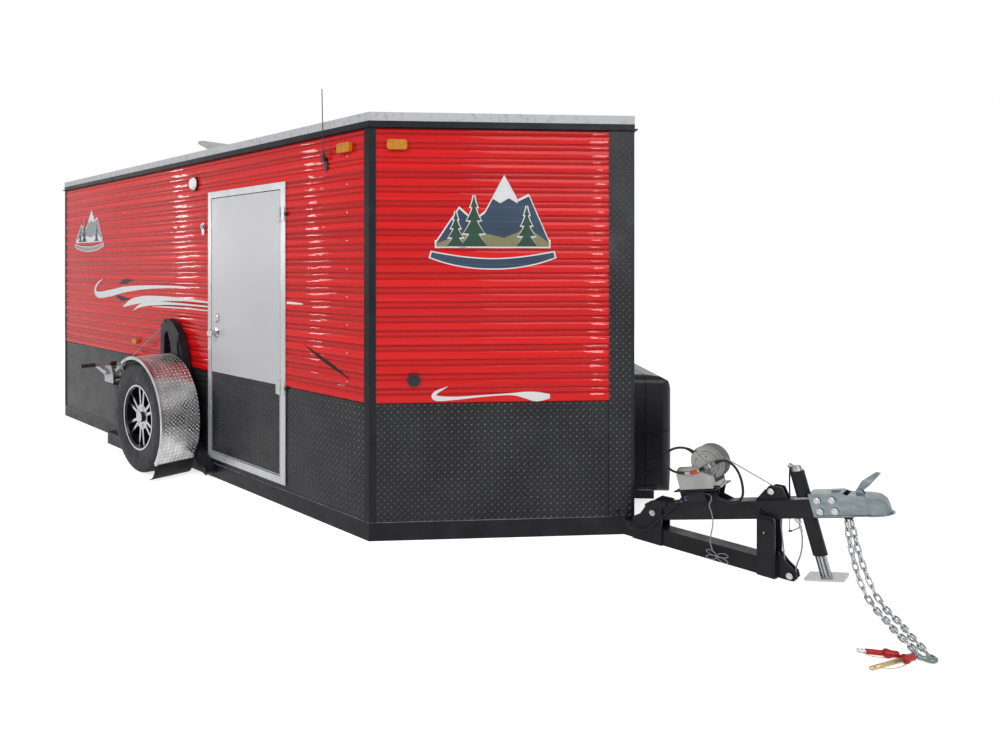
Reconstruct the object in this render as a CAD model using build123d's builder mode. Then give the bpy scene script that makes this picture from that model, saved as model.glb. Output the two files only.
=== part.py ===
from build123d import *
import os
from math import acos, atan2, cos, degrees, pi, radians, sin, tan

# Ice fishing hut on a crank-down road frame. Millimetres, +Z up, +X towards the coupler.
# The origin is on the ground, under the middle of the straight side walls, so the steel frame rests on z = 0.

# --- driving dimensions: house -------------------------------------------------------------
SIDE_LENGTH = 4064.0          # straight part of the side walls
WIDTH = 1981.0                # over the frame rails
NOSE_DEPTH = 876.0            # V nose, from the shoulders to the tip
RAIL_WIDTH = 50.8
RAIL_TOP = 88.0
SIDING_FOOT = 665.0           # tread plate below, ribbed siding above
SIDING_TOP = 2010.0
WALL_TOP = 2046.0
ROOF_EDGE_TOP = 2088.0
ROOF_CROWN = 12.0
FLOOR_THICKNESS = 19.0
CORE_FACE = 7.0               # wall core, measured inward from the crown of the siding
WALL_INSIDE = 47.0
SKIRT_FACE = 3.0
RIB_COUNT = 19
RIB_VALLEY, RIB_BEAD = 3.5, 1.2              # depths behind the siding's crown
CROSSMEMBER_PITCH = 550.0

# --- driving dimensions: door ---------------------------------------------------------------
DOOR_REAR, DOOR_FRONT = 545.0, 1300.0        # clear opening along X
DOOR_SILL, DOOR_HEAD = 160.0, 1770.0
DOOR_GAP = 5.0
JAMB = 17.0                                  # jamb thickness in the wall
DOOR_THICKNESS = 38.0
FLANGE = 6.0                                 # frame flange stands this far off the siding
HINGE_OUT = 14.0                             # hinge pin, outward of the siding

# --- driving dimensions: running gear ---------------------------------------------------------
PIVOT = (562.0, 62.0)                        # arm pivot, X and Z
SPINDLE = (126.0, 357.0)
APEX = (30.0, 962.0)                         # cable eye at the top of the arm
ARM_INNER, ARM_OUTER = 1003.0, 1048.0        # distance from the centreline
TYRE_RADIUS = 356.0
TYRE_INNER, TYRE_OUTER = 1075.0, 1300.0
RIM_RADIUS = 203.0
FENDER_RADIUS = 392.0
FENDER_SHEET = 4.0
FENDER_INNER, FENDER_OUTER = 1060.0, 1314.0
FENDER_FRONT, FENDER_REAR = -39.0, 120.0     # degrees round the spindle, 0 forward, 90 up
CRANK_SHAFT = (-830.0, 525.0)
CRANK_GRIP = (-1020.0, 565.0)

# --- driving dimensions: tongue ----------------------------------------------------------------
TUBE = 76.2
TONGUE_PIN = (3030.0, 150.0)
TONGUE_RISE = 15.0
LOWER_BEAM_END = 3577.0
CRADLE_REAR, CRADLE_FRONT = 3500.0, 3573.0
LOCK_HOLE = (3533.0, 185.0)
LOCK_HOLE_RADIUS = 8.0
JACK_AT = 676.0                              # along the upper beam, from the hinge pin
COUPLER_REAR, COUPLER_TIP = 706.0, 980.0
BALL_AT = 930.0
BALL_SOCKET_RADIUS = 26.0

HALF_WIDTH = WIDTH / 2
REAR_END = -SIDE_LENGTH / 2
SHOULDER = SIDE_LENGTH / 2
NOSE_TIP = SHOULDER + NOSE_DEPTH
NOSE_ANGLE = atan2(HALF_WIDTH, NOSE_DEPTH)
RIB_PITCH = (SIDING_TOP - SIDING_FOOT) / RIB_COUNT
SIDES = (("right", -1), ("left", 1))

os.makedirs("parts", exist_ok=True)


# --- plan and wall helpers -----------------------------------------------------------------------
def plan(inset):
    """Corners of the five-sided plan with every wall moved in by inset, anticlockwise from the right rear."""
    side = HALF_WIDTH - inset
    tip = NOSE_TIP - inset / sin(NOSE_ANGLE)
    shoulder = tip - side / tan(NOSE_ANGLE)
    rear = REAR_END + inset
    return [(rear, -side), (shoulder, -side), (tip, 0), (shoulder, side), (rear, side)]


def wall_plane(index):
    """Section plane of a wall: x runs inward from the siding's crown, y is up, the normal is along the wall."""
    start = Vector(*plan(0)[index])
    along = (Vector(*plan(0)[(index + 1) % 5]) - start).normalized()
    return Plane(origin=start, x_dir=along.rotate(Axis.Z, 90), z_dir=along)


def wall_length(index):
    return (Vector(*plan(0)[(index + 1) % 5]) - Vector(*plan(0)[index])).length


def wall_footprint(index):
    """Mitred footprint of one wall between the outer and the inner plan."""
    after = (index + 1) % 5
    return [plan(0)[index], plan(0)[after], plan(WALL_INSIDE)[after], plan(WALL_INSIDE)[index]]


def siding_section():
    """Wall section with its ribs: a broad crown, a valley and a narrow bead in each pitch."""
    points = [(WALL_INSIDE, RAIL_TOP), (CORE_FACE, RAIL_TOP), (CORE_FACE, SIDING_FOOT)]
    for rib in range(RIB_COUNT):
        foot = SIDING_FOOT + rib * RIB_PITCH
        points += [(0, foot + 5), (0, foot + 41), (RIB_VALLEY, foot + 46)]
        points += [(RIB_BEAD, foot + 51), (RIB_BEAD, foot + 66), (RIB_VALLEY, foot + RIB_PITCH)]
    points += [(CORE_FACE, SIDING_TOP), (CORE_FACE, WALL_TOP), (WALL_INSIDE, WALL_TOP)]
    return points


def corner_section(index, outer, inner, leg):
    """L-shaped plan section wrapped round one corner, between two insets, with legs of one length."""
    corner, inside = Vector(*plan(outer)[index]), Vector(*plan(inner)[index])
    ahead = (Vector(*plan(outer)[(index + 1) % 5]) - corner).normalized()
    behind = (Vector(*plan(outer)[index - 1]) - corner).normalized()
    inward_ahead = ahead.rotate(Axis.Z, 90) * (inner - outer)
    inward_behind = behind.rotate(Axis.Z, -90) * (inner - outer)
    end_ahead, end_behind = corner + ahead * leg, corner + behind * leg
    return [corner, end_ahead, end_ahead + inward_ahead, inside, end_behind + inward_behind, end_behind]


def bends(points):
    """Easy radius at each inner point of a route: 0.45 of its shorter run over the tangent of half the turn."""
    radii = []
    for before, corner, after in zip(points, points[1:], points[2:]):
        arriving, leaving = Vector(*corner) - Vector(*before), Vector(*after) - Vector(*corner)
        half_turn = radians(arriving.get_angle(leaving)) / 2
        radii.append(0.45 * min(arriving.length, leaving.length) / tan(half_turn))
    return radii


def flat(points):
    return [(point.X, point.Y) for point in points]


def outward(side, inner, outer):
    """XZ sketch plane beside the house, for an extrusion from inner to outer distance off the centreline."""
    return Plane.XZ.offset(inner if side < 0 else -outer)


# --- steel frame and floor ---------------------------------------------------------------------
with BuildPart() as frame:
    with BuildSketch():
        Polygon(*plan(0), align=None)
        Polygon(*plan(RAIL_WIDTH), align=None, mode=Mode.SUBTRACT)
    extrude(amount=RAIL_TOP)
frame.part.label = "frame"
export_step(frame.part, "parts/frame.step")

CROSSMEMBERS = [step * CROSSMEMBER_PITCH for step in (-3, -2, -1, 0, 1, 2, 3, 4)]
with BuildPart() as crossmembers:
    with BuildSketch():
        with Locations(*[(x, 0) for x in CROSSMEMBERS]):
            Rectangle(RAIL_WIDTH, WIDTH)
        with Locations((CROSSMEMBERS[-1], 0)):
            Rectangle(NOSE_DEPTH, TUBE, align=(Align.MIN, Align.CENTER))
        Polygon(*plan(RAIL_WIDTH), align=None, mode=Mode.INTERSECT)
    extrude(amount=RAIL_TOP)
crossmembers.part.label = "frame_crossmembers"
export_step(crossmembers.part, "parts/frame_crossmembers.step")

with BuildPart() as floor:
    with BuildSketch(Plane.XY.offset(RAIL_TOP)):
        Polygon(*plan(WALL_INSIDE), align=None)
    extrude(amount=FLOOR_THICKNESS)
floor.part.label = "floor"
export_step(floor.part, "parts/floor.step")

# --- walls ----------------------------------------------------------------------------------------
# Each wall is its ribbed section run along one side of the plan, mitred at the corners, and the right
# side wall is in pieces round the doorway. X ranges and height ranges say what each node keeps.
OPENING_REAR, OPENING_FRONT = DOOR_REAR - JAMB, DOOR_FRONT + JAMB + 4
OPENING_FOOT, OPENING_HEAD = DOOR_SILL - JAMB, DOOR_HEAD + JAMB
FAR = NOSE_TIP + 100
WHOLE = ((-FAR, FAR, RAIL_TOP, WALL_TOP),)
WALLS = {
    "right_wall_rear": (0, ((-FAR, OPENING_REAR, RAIL_TOP, WALL_TOP),)),
    "right_wall_front": (0, ((OPENING_FRONT, FAR, RAIL_TOP, WALL_TOP),)),
    "right_wall_by_door": (
        0,
        (
            (OPENING_REAR, OPENING_FRONT, OPENING_HEAD, WALL_TOP),
            (OPENING_REAR, OPENING_FRONT, RAIL_TOP, OPENING_FOOT),
        ),
    ),
    "nose_wall_right": (1, WHOLE),
    "nose_wall_left": (2, WHOLE),
    "left_wall": (3, WHOLE),
    "rear_wall": (4, WHOLE),
}
for name, (index, kept) in WALLS.items():
    with BuildPart() as wall:
        for from_x, to_x, foot, top in kept:
            with BuildSketch(Plane.XY.offset(foot)):
                Polygon(*wall_footprint(index), align=None)
                with Locations(((from_x + to_x) / 2, 0)):
                    Rectangle(to_x - from_x, 2 * WIDTH, mode=Mode.INTERSECT)
            extrude(amount=top - foot)
        with BuildSketch(wall_plane(index)):
            Polygon(*siding_section(), align=None)
        extrude(amount=wall_length(index), mode=Mode.INTERSECT)
    wall.part.label = name
    export_step(wall.part, f"parts/{name}.step")

# --- tread plate skirt, corner trims and nose cap -------------------------------------------------
with BuildPart() as skirt:
    with BuildSketch(Plane.XY.offset(RAIL_TOP)):
        Polygon(*plan(SKIRT_FACE), align=None)
        Polygon(*plan(CORE_FACE), align=None, mode=Mode.SUBTRACT)
    extrude(amount=SIDING_FOOT - RAIL_TOP)
    with BuildSketch(Plane.XZ.offset(HALF_WIDTH - 2 * CORE_FACE)):
        with Locations(((OPENING_REAR + OPENING_FRONT) / 2, OPENING_FOOT)):
            Rectangle(OPENING_FRONT - OPENING_REAR, WALL_TOP, align=(Align.CENTER, Align.MIN))
    extrude(amount=4 * CORE_FACE, mode=Mode.SUBTRACT)
skirt.part.label = "tread_plate_skirt"
export_step(skirt.part, "parts/tread_plate_skirt.step")

TRIM_OUT, TRIM_LEG, CAP_OUT, CAP_LEG = 1.5, 35.0, 2.0, 129.0


# Each angle up a corner is thicker in its lower part, where it closes on the skirt.
TRIM_STRETCHES = ((RAIL_TOP, SIDING_FOOT, SKIRT_FACE), (SIDING_FOOT, SIDING_TOP, 0))
for name, corners, out, leg in (
    ("corner_trims", (0, 1, 3, 4), TRIM_OUT, TRIM_LEG),
    ("nose_cap", (2,), CAP_OUT, CAP_LEG),
):
    with BuildPart() as angles:
        for foot, top, inner in TRIM_STRETCHES:
            with BuildSketch(Plane.XY.offset(foot)):
                for corner in corners:
                    Polygon(*flat(corner_section(corner, -out, inner, leg)), align=None)
            extrude(amount=top - foot)
    angles.part.label = name
    export_step(angles.part, f"parts/{name}.step")

# --- roof, drip trim and roof vent ----------------------------------------------------------------
DRIP_OUT = 15.0
with BuildPart() as drip_trim:
    with BuildSketch(Plane.XY.offset(SIDING_TOP)):
        Polygon(*plan(-CAP_OUT - 2), align=None)
        Polygon(*plan(CORE_FACE), align=None, mode=Mode.SUBTRACT)
    extrude(amount=WALL_TOP - SIDING_TOP)
    with BuildSketch(Plane.XY.offset(SIDING_TOP + 4)):
        Polygon(*plan(-DRIP_OUT), align=None)
        Polygon(*plan(CORE_FACE), align=None, mode=Mode.SUBTRACT)
    extrude(amount=8)
drip_trim.part.label = "drip_trim"
export_step(drip_trim.part, "parts/drip_trim.step")

VENT_X, VENT_Y, VENT_SIZE, CURB_SIZE = -195.0, -385.0, 430.0, 400.0
with BuildPart() as roof:
    with BuildSketch(Plane.XY.offset(WALL_TOP)):
        Polygon(*plan(-4), align=None)
    extrude(amount=ROOF_EDGE_TOP - WALL_TOP)
    with BuildSketch(Plane.XY.offset(ROOF_EDGE_TOP)):
        Polygon(*plan(8), align=None)
    extrude(amount=ROOF_CROWN, taper=80)
    with BuildSketch(Plane.XY.offset(WALL_TOP)):
        with Locations((VENT_X, VENT_Y)):
            Rectangle(CURB_SIZE - 60, CURB_SIZE - 60)
    extrude(amount=ROOF_EDGE_TOP + ROOF_CROWN - WALL_TOP, mode=Mode.SUBTRACT)
roof.part.label = "roof"
export_step(roof.part, "parts/roof.step")

VENT_BASE = ROOF_EDGE_TOP + ROOF_CROWN
LID_RISE = radians(22.0)
LID_DEEP, LID_RECESS = 20.0, 15.0
LID_HINGE = Plane(
    origin=(VENT_X + VENT_SIZE / 2, VENT_Y, VENT_BASE + 26),
    x_dir=(-cos(LID_RISE), 0, sin(LID_RISE)),
    z_dir=(sin(LID_RISE), 0, cos(LID_RISE)),
)


def under_lid(x):
    """Height of the middle of the open lid's sheet at one X."""
    return LID_HINGE.origin.Z + (LID_HINGE.origin.X - x) * tan(LID_RISE) + (LID_RECESS + 2) / cos(LID_RISE)


# The lid stands open on a hinge along its front edge and a stay inside its rear edge.
with BuildPart() as roof_vent:
    with BuildSketch(Plane.XY.offset(VENT_BASE)):
        with Locations((VENT_X, VENT_Y)):
            RectangleRounded(CURB_SIZE, CURB_SIZE, 20)
            Rectangle(CURB_SIZE - 60, CURB_SIZE - 60, mode=Mode.SUBTRACT)
    extrude(amount=22)
    with BuildSketch(LID_HINGE):
        with Locations((VENT_SIZE / 2, 0)):
            RectangleRounded(VENT_SIZE, VENT_SIZE, 30)
    extrude(amount=LID_DEEP)
    with BuildSketch(LID_HINGE.offset(LID_DEEP)):
        with Locations((VENT_SIZE / 2, 0)):
            RectangleRounded(VENT_SIZE - 6, VENT_SIZE - 6, 28)
    extrude(amount=14, taper=70)
    with BuildSketch(LID_HINGE):
        with Locations((VENT_SIZE / 2, 0)):
            RectangleRounded(VENT_SIZE - 10, VENT_SIZE - 10, 26)
    extrude(amount=LID_RECESS, mode=Mode.SUBTRACT)
    stay_rear, stay_front = VENT_X - 170, VENT_X - 158
    with BuildSketch(Plane.XZ.offset(-VENT_Y - 6)):
        Polygon((stay_rear, VENT_BASE), (stay_front, VENT_BASE), (stay_front, under_lid(stay_front)),
                (stay_rear, under_lid(stay_rear)), align=None)
    extrude(amount=12)
    with BuildSketch(Plane.XZ.offset(-VENT_Y - 110)):
        with Locations((VENT_X + CURB_SIZE / 2 - 5, VENT_BASE + 12)):
            Rectangle(18, 17, align=Align.MIN)
    extrude(amount=220)
roof_vent.part.label = "roof_vent"
export_step(roof_vent.part, "parts/roof_vent.step")

# --- door frame, leaf, hinges and lock ------------------------------------------------------------
# Planes beside the right wall are placed by how far they stand off the siding's crown.
def off_siding(distance):
    """XZ plane beside the right wall, a distance outward of the siding (inward if negative)."""
    return Plane.XZ.offset(HALF_WIDTH + distance)


DOOR_CENTRE = ((DOOR_REAR + DOOR_FRONT) / 2, (DOOR_SILL + DOOR_HEAD) / 2)
DOOR_WIDTH, DOOR_HEIGHT = DOOR_FRONT - DOOR_REAR, DOOR_HEAD - DOOR_SILL
FLANGE_REAR, FLANGE_FRONT, FLANGE_FOOT, FLANGE_HEAD = 504.0, 1345.0, 119.0, 1809.0
STOP_DEPTH, STOP_LIP = 8.0, 12.0
LEAF_FACE = 4.0                               # leaf's outer face, outward of the siding
LEAF_REAR, LEAF_FRONT = DOOR_REAR + DOOR_GAP, DOOR_FRONT - DOOR_GAP
LEAF_FOOT, LEAF_HEAD = DOOR_SILL + DOOR_GAP, DOOR_HEAD - DOOR_GAP
HINGE_HEIGHTS = (660.0, 1628.0)
HINGE_TALL, HINGE_SHEET, KNUCKLE_RADIUS, HINGE_PIN_RADIUS = 80.0, 5.0, 7.0, 3.0
LEAF_KNUCKLE, HINGE_LEAF_WIDTH, HINGE_TAB = 27.0, 32.0, 9.0
KNUCKLES = Plane(origin=(DOOR_FRONT, -HALF_WIDTH - HINGE_OUT, 0))

# Butt hinges lie on the face: the frame half has the two outer knuckles, the leaf half the middle one
# and the pin.
with BuildPart() as door_frame:
    with BuildSketch(off_siding(-WALL_INSIDE)):
        with Locations(((OPENING_REAR + OPENING_FRONT) / 2, (OPENING_FOOT + OPENING_HEAD) / 2)):
            Rectangle(OPENING_FRONT - OPENING_REAR, OPENING_HEAD - OPENING_FOOT)
    extrude(amount=WALL_INSIDE)
    with BuildSketch(off_siding(0)):
        with Locations(((FLANGE_REAR + FLANGE_FRONT) / 2, (FLANGE_FOOT + FLANGE_HEAD) / 2)):
            Rectangle(FLANGE_FRONT - FLANGE_REAR, FLANGE_HEAD - FLANGE_FOOT)
    extrude(amount=FLANGE)
    with BuildSketch(off_siding(STOP_DEPTH - WALL_INSIDE)):
        with Locations(DOOR_CENTRE):
            Rectangle(DOOR_WIDTH, DOOR_HEIGHT)
    extrude(amount=WALL_INSIDE + FLANGE, mode=Mode.SUBTRACT)
    with BuildSketch(off_siding(-WALL_INSIDE)):
        with Locations(DOOR_CENTRE):
            Rectangle(DOOR_WIDTH - 2 * STOP_LIP, DOOR_HEIGHT - 2 * STOP_LIP)
    extrude(amount=STOP_DEPTH, mode=Mode.SUBTRACT)
    for height in HINGE_HEIGHTS:
        with BuildSketch(off_siding(FLANGE)):
            with Locations((DOOR_FRONT + HINGE_TAB, height)):
                Rectangle(HINGE_LEAF_WIDTH, HINGE_TALL, align=(Align.MIN, Align.CENTER))
            with Locations((DOOR_FRONT + 1, height)):
                Rectangle(HINGE_TAB, HINGE_TALL, align=(Align.MIN, Align.CENTER))
                Rectangle(HINGE_TAB - 1, LEAF_KNUCKLE + 1, align=(Align.MIN, Align.CENTER),
                          mode=Mode.SUBTRACT)
        extrude(amount=HINGE_SHEET)
        for foot in (height - HINGE_TALL / 2, height + LEAF_KNUCKLE / 2 + 0.5):
            with BuildSketch(KNUCKLES.offset(foot)):
                Circle(KNUCKLE_RADIUS)
            extrude(amount=(HINGE_TALL - LEAF_KNUCKLE) / 2 - 0.5)
        with BuildSketch(KNUCKLES.offset(height - HINGE_TALL)):
            Circle(HINGE_PIN_RADIUS + 0.05)
        extrude(amount=2 * HINGE_TALL, mode=Mode.SUBTRACT)
door_frame.part.label = "door_frame"
export_step(door_frame.part, "parts/door_frame.step")

with BuildPart() as door_leaf:
    with BuildSketch(off_siding(LEAF_FACE - DOOR_THICKNESS)):
        with Locations(DOOR_CENTRE):
            Rectangle(LEAF_FRONT - LEAF_REAR, LEAF_HEAD - LEAF_FOOT)
    extrude(amount=DOOR_THICKNESS)
    for height in HINGE_HEIGHTS:
        with BuildSketch(off_siding(LEAF_FACE)):
            with Locations((DOOR_FRONT - HINGE_TAB, height)):
                Rectangle(HINGE_LEAF_WIDTH, HINGE_TALL, align=(Align.MAX, Align.CENTER))
            with Locations((DOOR_FRONT - 1, height)):
                Rectangle(HINGE_TAB, LEAF_KNUCKLE, align=(Align.MAX, Align.CENTER))
        extrude(amount=HINGE_SHEET)
        with BuildSketch(KNUCKLES.offset(height - LEAF_KNUCKLE / 2)):
            Circle(KNUCKLE_RADIUS)
        extrude(amount=LEAF_KNUCKLE)
        with BuildSketch(KNUCKLES.offset(height - HINGE_TALL / 2)):
            Circle(HINGE_PIN_RADIUS)
        extrude(amount=HINGE_TALL)
door_leaf.part.label = "door_leaf"
export_step(door_leaf.part, "parts/door_leaf.step")

KICK_TOP, KICK_MARGIN, KICK_SHEET = 671.0, 6.0, 2.0
with BuildPart() as door_kick_panel:
    with BuildSketch(off_siding(LEAF_FACE)):
        with Locations((LEAF_REAR + KICK_MARGIN, LEAF_FOOT + KICK_MARGIN)):
            Rectangle(LEAF_FRONT - LEAF_REAR - 2 * KICK_MARGIN, KICK_TOP - LEAF_FOOT - KICK_MARGIN,
                      align=Align.MIN)
        with Locations((DOOR_FRONT, HINGE_HEIGHTS[0])):
            Rectangle(2 * (HINGE_LEAF_WIDTH + HINGE_TAB) + 4, HINGE_TALL + 4, mode=Mode.SUBTRACT)
    extrude(amount=KICK_SHEET)
door_kick_panel.part.label = "door_kick_panel"
export_step(door_kick_panel.part, "parts/door_kick_panel.step")

LOCK_X, KNOB_Z, DEADBOLT_Z = 612.0, 920.0, 1014.0
KNOB_PROFILE = [(0, 0), (31, 0), (31, 4), (11, 10), (10, 26), (26, 42), (25, 54), (17, 60), (0, 61)]
BOLT_PROFILE = [(0, 0), (29, 0), (29, 9), (25, 13), (0, 14)]
OUTSIDE, INSIDE = HALF_WIDTH + LEAF_FACE, HALF_WIDTH + LEAF_FACE - DOOR_THICKNESS
with BuildPart() as door_lockset:
    for height, profile in ((KNOB_Z, KNOB_PROFILE), (DEADBOLT_Z, BOLT_PROFILE)):
        for face, way in ((-OUTSIDE, -1), (-INSIDE, 1)):
            with BuildSketch(Plane(origin=(LOCK_X, face, height), x_dir=(1, 0, 0), z_dir=(0, 0, way))):
                Polygon(*profile, align=None)
            revolve(axis=Axis((LOCK_X, face, height), (0, way, 0)))
door_lockset.part.label = "door_lockset"
export_step(door_lockset.part, "parts/door_lockset.step")

# --- small fittings on the walls ------------------------------------------------------------------
PORCH_LIGHT = (323.0, 1880.0)
SIDE_MARKER, REAR_MARKER = (1860.0, 1933.0), (-554.0, 778.0)
NOSE_MARKER_FROM_SHOULDER, NOSE_MARKER_Z = 136.0, 1929.0
with BuildPart() as marker_lights:
    for side in (-1, 1):
        for place, length, tall in ((SIDE_MARKER, 98, 48), (REAR_MARKER, 64, 34)):
            with BuildSketch(outward(side, HALF_WIDTH, HALF_WIDTH + 22)):
                with Locations(place):
                    RectangleRounded(length, tall, 12)
            extrude(amount=22)
    for index, along in ((1, NOSE_MARKER_FROM_SHOULDER), (2, wall_length(2) - NOSE_MARKER_FROM_SHOULDER)):
        face = wall_plane(index).offset(along)
        with BuildSketch(Plane(origin=face.origin, x_dir=face.z_dir, z_dir=-face.x_dir)):
            with Locations((0, NOSE_MARKER_Z)):
                RectangleRounded(98, 48, 12)
        extrude(amount=22)
marker_lights.part.label = "marker_lights"
export_step(marker_lights.part, "parts/marker_lights.step")

# Small fittings: the porch light, the power inlet on the nose, the antenna and the bottle opener.
INLET_FROM_SHOULDER, INLET_Z, INLET_RADIUS = 219.0, 782.0, 32.0
INLET_FACE = wall_plane(1).offset(INLET_FROM_SHOULDER)
INLET_PLANE = Plane(origin=INLET_FACE.origin, x_dir=INLET_FACE.z_dir, z_dir=-INLET_FACE.x_dir)
ANTENNA = (1707.0, 1880.0)
ANTENNA_OUT = HALF_WIDTH + 24
ANTENNA_FOOT = Plane(origin=(ANTENNA[0], -ANTENNA_OUT, ANTENNA[1]))
OPENER = (440.0, 1580.0)
with BuildPart() as wall_fittings:
    with BuildSketch(off_siding(0)):
        with Locations(PORCH_LIGHT):
            Circle(48)
    extrude(amount=12)
    with BuildSketch(off_siding(12)):
        with Locations(PORCH_LIGHT):
            Circle(42)
    extrude(amount=14, taper=35)
    with BuildSketch(INLET_PLANE):
        with Locations((0, INLET_Z)):
            Circle(INLET_RADIUS)
    extrude(amount=10)
    with BuildSketch(INLET_PLANE.offset(10)):
        with Locations((0, INLET_Z)):
            RegularPolygon(17, 6)
    extrude(amount=8)
    with BuildSketch(off_siding(0)):
        with Locations((ANTENNA[0], ANTENNA[1] - 12)):
            RectangleRounded(22, 70, 6)
        with Locations(OPENER):
            RectangleRounded(34, 76, 8)
    extrude(amount=6)
    with BuildSketch(off_siding(6)):
        with Locations((ANTENNA[0], ANTENNA[1] + 12)):
            Rectangle(14, 16)
        with Locations((OPENER[0], OPENER[1] + 14)):
            Circle(15)
            Circle(8, mode=Mode.SUBTRACT)
    extrude(amount=10)
    with BuildSketch(ANTENNA_FOOT):
        Circle(13)
    extrude(amount=44, taper=8)
    with BuildSketch(Plane(origin=ANTENNA_FOOT.origin + (0, 0, 40), x_dir=(1, 0, 0), z_dir=(-0.03, 0, 1))):
        Circle(2.5)
    extrude(amount=335)
wall_fittings.part.label = "wall_fittings"
export_step(wall_fittings.part, "parts/wall_fittings.step")

# --- gas bottle cover on the left of the nose -----------------------------------------------------
# Its plane lies on the left nose wall: x runs from the tip along the wall, y is up, the normal points away.
BOTTLE_WALL = wall_plane(2)
BOTTLE_PLANE = Plane(origin=BOTTLE_WALL.origin, x_dir=BOTTLE_WALL.z_dir, z_dir=-BOTTLE_WALL.x_dir)
COVER_NEAR, COVER_FAR, COVER_FOOT, COVER_TOP, COVER_DEEP = 330.0, 930.0, 100.0, 742.0, 300.0
COVER_CENTRE = ((COVER_NEAR + COVER_FAR) / 2, (COVER_FOOT + COVER_TOP) / 2)
COVER_WIDE, COVER_TALL = COVER_FAR - COVER_NEAR, COVER_TOP - COVER_FOOT
COVER_ROUND, COVER_PLAN_ROUND, COVER_SEAM, SEAM_WIDE, SEAM_DEEP = 50.0, 60.0, 150.0, 4.0, 5.0
COVER_SIDE = [(0, COVER_FOOT), (282, COVER_FOOT), (COVER_DEEP, 300), (COVER_DEEP, 656), (276, 712),
              (236, 733), (COVER_SEAM, COVER_TOP), (0, COVER_TOP)]
COVER_GROOVES = ((476, 9), (462, 9), (303, 0), (289, 0))        # height and tilt of the moulded grooves
COVER_CLIPS = (634, 443, 208, 130)
CLIP = [(-58, -15), (-58, 15), (0, 7), (58, 15), (58, -15), (0, -7)]


def cover_end(x):
    """Plane square to the nose wall at one place along it: x runs away from the wall, y is up."""
    return Plane(origin=BOTTLE_PLANE.from_local_coords(Vector(x, 0, 0)), x_dir=BOTTLE_PLANE.z_dir,
                 z_dir=-BOTTLE_PLANE.x_dir)


def cover_plan(height, tilt):
    """Plane across the cover at one height, tilted to fall forwards: x along the wall, y away from it."""
    origin = BOTTLE_PLANE.from_local_coords(Vector(COVER_CENTRE[0], height, COVER_SEAM))
    level = Plane(origin=origin, x_dir=BOTTLE_PLANE.x_dir, z_dir=(0, 0, -1))
    return level.rotated((tilt, 0, 0))


# Two moulded shells meet at a seam and are held together by bow-tie clips on both ends.
with BuildPart() as bottle_cover:
    with BuildSketch(BOTTLE_PLANE):
        with Locations(COVER_CENTRE):
            RectangleRounded(COVER_WIDE, COVER_TALL, COVER_ROUND)
    extrude(amount=COVER_DEEP)
    with BuildSketch(cover_end(COVER_FAR)):
        Polygon(*COVER_SIDE, align=None)
    extrude(amount=COVER_WIDE, mode=Mode.INTERSECT)
    with BuildSketch(cover_plan(COVER_TOP, 0)):
        with Locations((0, -COVER_SEAM)):
            RectangleRounded(COVER_WIDE, 2 * COVER_DEEP, COVER_PLAN_ROUND)
    extrude(amount=COVER_TALL, mode=Mode.INTERSECT)
    with BuildSketch(BOTTLE_PLANE.offset(COVER_SEAM - SEAM_WIDE / 2)):
        with Locations(COVER_CENTRE):
            Rectangle(COVER_WIDE + SEAM_DEEP, COVER_TALL + SEAM_DEEP)
            RectangleRounded(COVER_WIDE - 2 * SEAM_DEEP, COVER_TALL - 2 * SEAM_DEEP, COVER_ROUND - SEAM_DEEP,
                             mode=Mode.SUBTRACT)
    extrude(amount=SEAM_WIDE, mode=Mode.SUBTRACT)
    for height, tilt in COVER_GROOVES:
        with BuildSketch(cover_plan(height, tilt)):
            Rectangle(COVER_WIDE + SEAM_DEEP, 2 * COVER_DEEP)
            with Locations((0, -COVER_SEAM)):
                RectangleRounded(COVER_WIDE - SEAM_DEEP, 2 * COVER_DEEP - SEAM_DEEP, COVER_PLAN_ROUND,
                                 mode=Mode.SUBTRACT)
        extrude(amount=SEAM_WIDE, mode=Mode.SUBTRACT)
    for end in (COVER_NEAR, COVER_FAR):
        with BuildSketch(cover_end(end + SEAM_DEEP)):
            with Locations(*[(COVER_SEAM, height) for height in COVER_CLIPS]):
                Polygon(*CLIP, align=None)
        extrude(amount=2 * SEAM_DEEP)
bottle_cover.part.label = "bottle_cover"
export_step(bottle_cover.part, "parts/bottle_cover.step")

with BuildPart() as bottle_shelf:
    with BuildSketch(BOTTLE_PLANE):
        with Locations((COVER_CENTRE[0], COVER_FOOT)):
            Rectangle(440, 10, align=(Align.CENTER, Align.MAX))
        with Locations((COVER_CENTRE[0] - 180, COVER_FOOT), (COVER_CENTRE[0] + 180, COVER_FOOT)):
            Rectangle(8, 70, align=(Align.CENTER, Align.MAX))
    extrude(amount=230)
bottle_shelf.part.label = "bottle_shelf"
export_step(bottle_shelf.part, "parts/bottle_shelf.step")

# --- running gear: one pivoting arm, wheel, fender and hand winch on each side --------------------
ARM_THICK = ARM_OUTER - ARM_INNER
PIVOT_RADIUS, SPINDLE_RADIUS, RUNNING_GAP = 16.0, 22.0, 0.05
UPRIGHT = [(48, 360), (-42, 560), (-52, 735), (-46, 900), (2, 978), (62, 980), (140, 950), (215, 888),
           (275, 760), (308, 600), (345, 420), (372, 250), (240, 300)]
UPRIGHT_SLOT = [(96, 440), (8, 590), (0, 735), (6, 868), (48, 905), (92, 820), (150, 620), (190, 420)]
UPRIGHT_ROUND, SLOT_ROUND = 20.0, 14.0
FRONT_LEG = [(216, 880), (272, 756), (305, 598), (342, 420), (362, 300), (330, 300), (280, 560), (232, 700),
             (196, 800)]
LEG_FLANGE, LEG_SHEET = 9.0, 5.0
CABLE_DRUM, CABLE_DRUM_RADIUS, CABLE_RADIUS = (-800.0, 500.0), 28.0, 4.0
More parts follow.
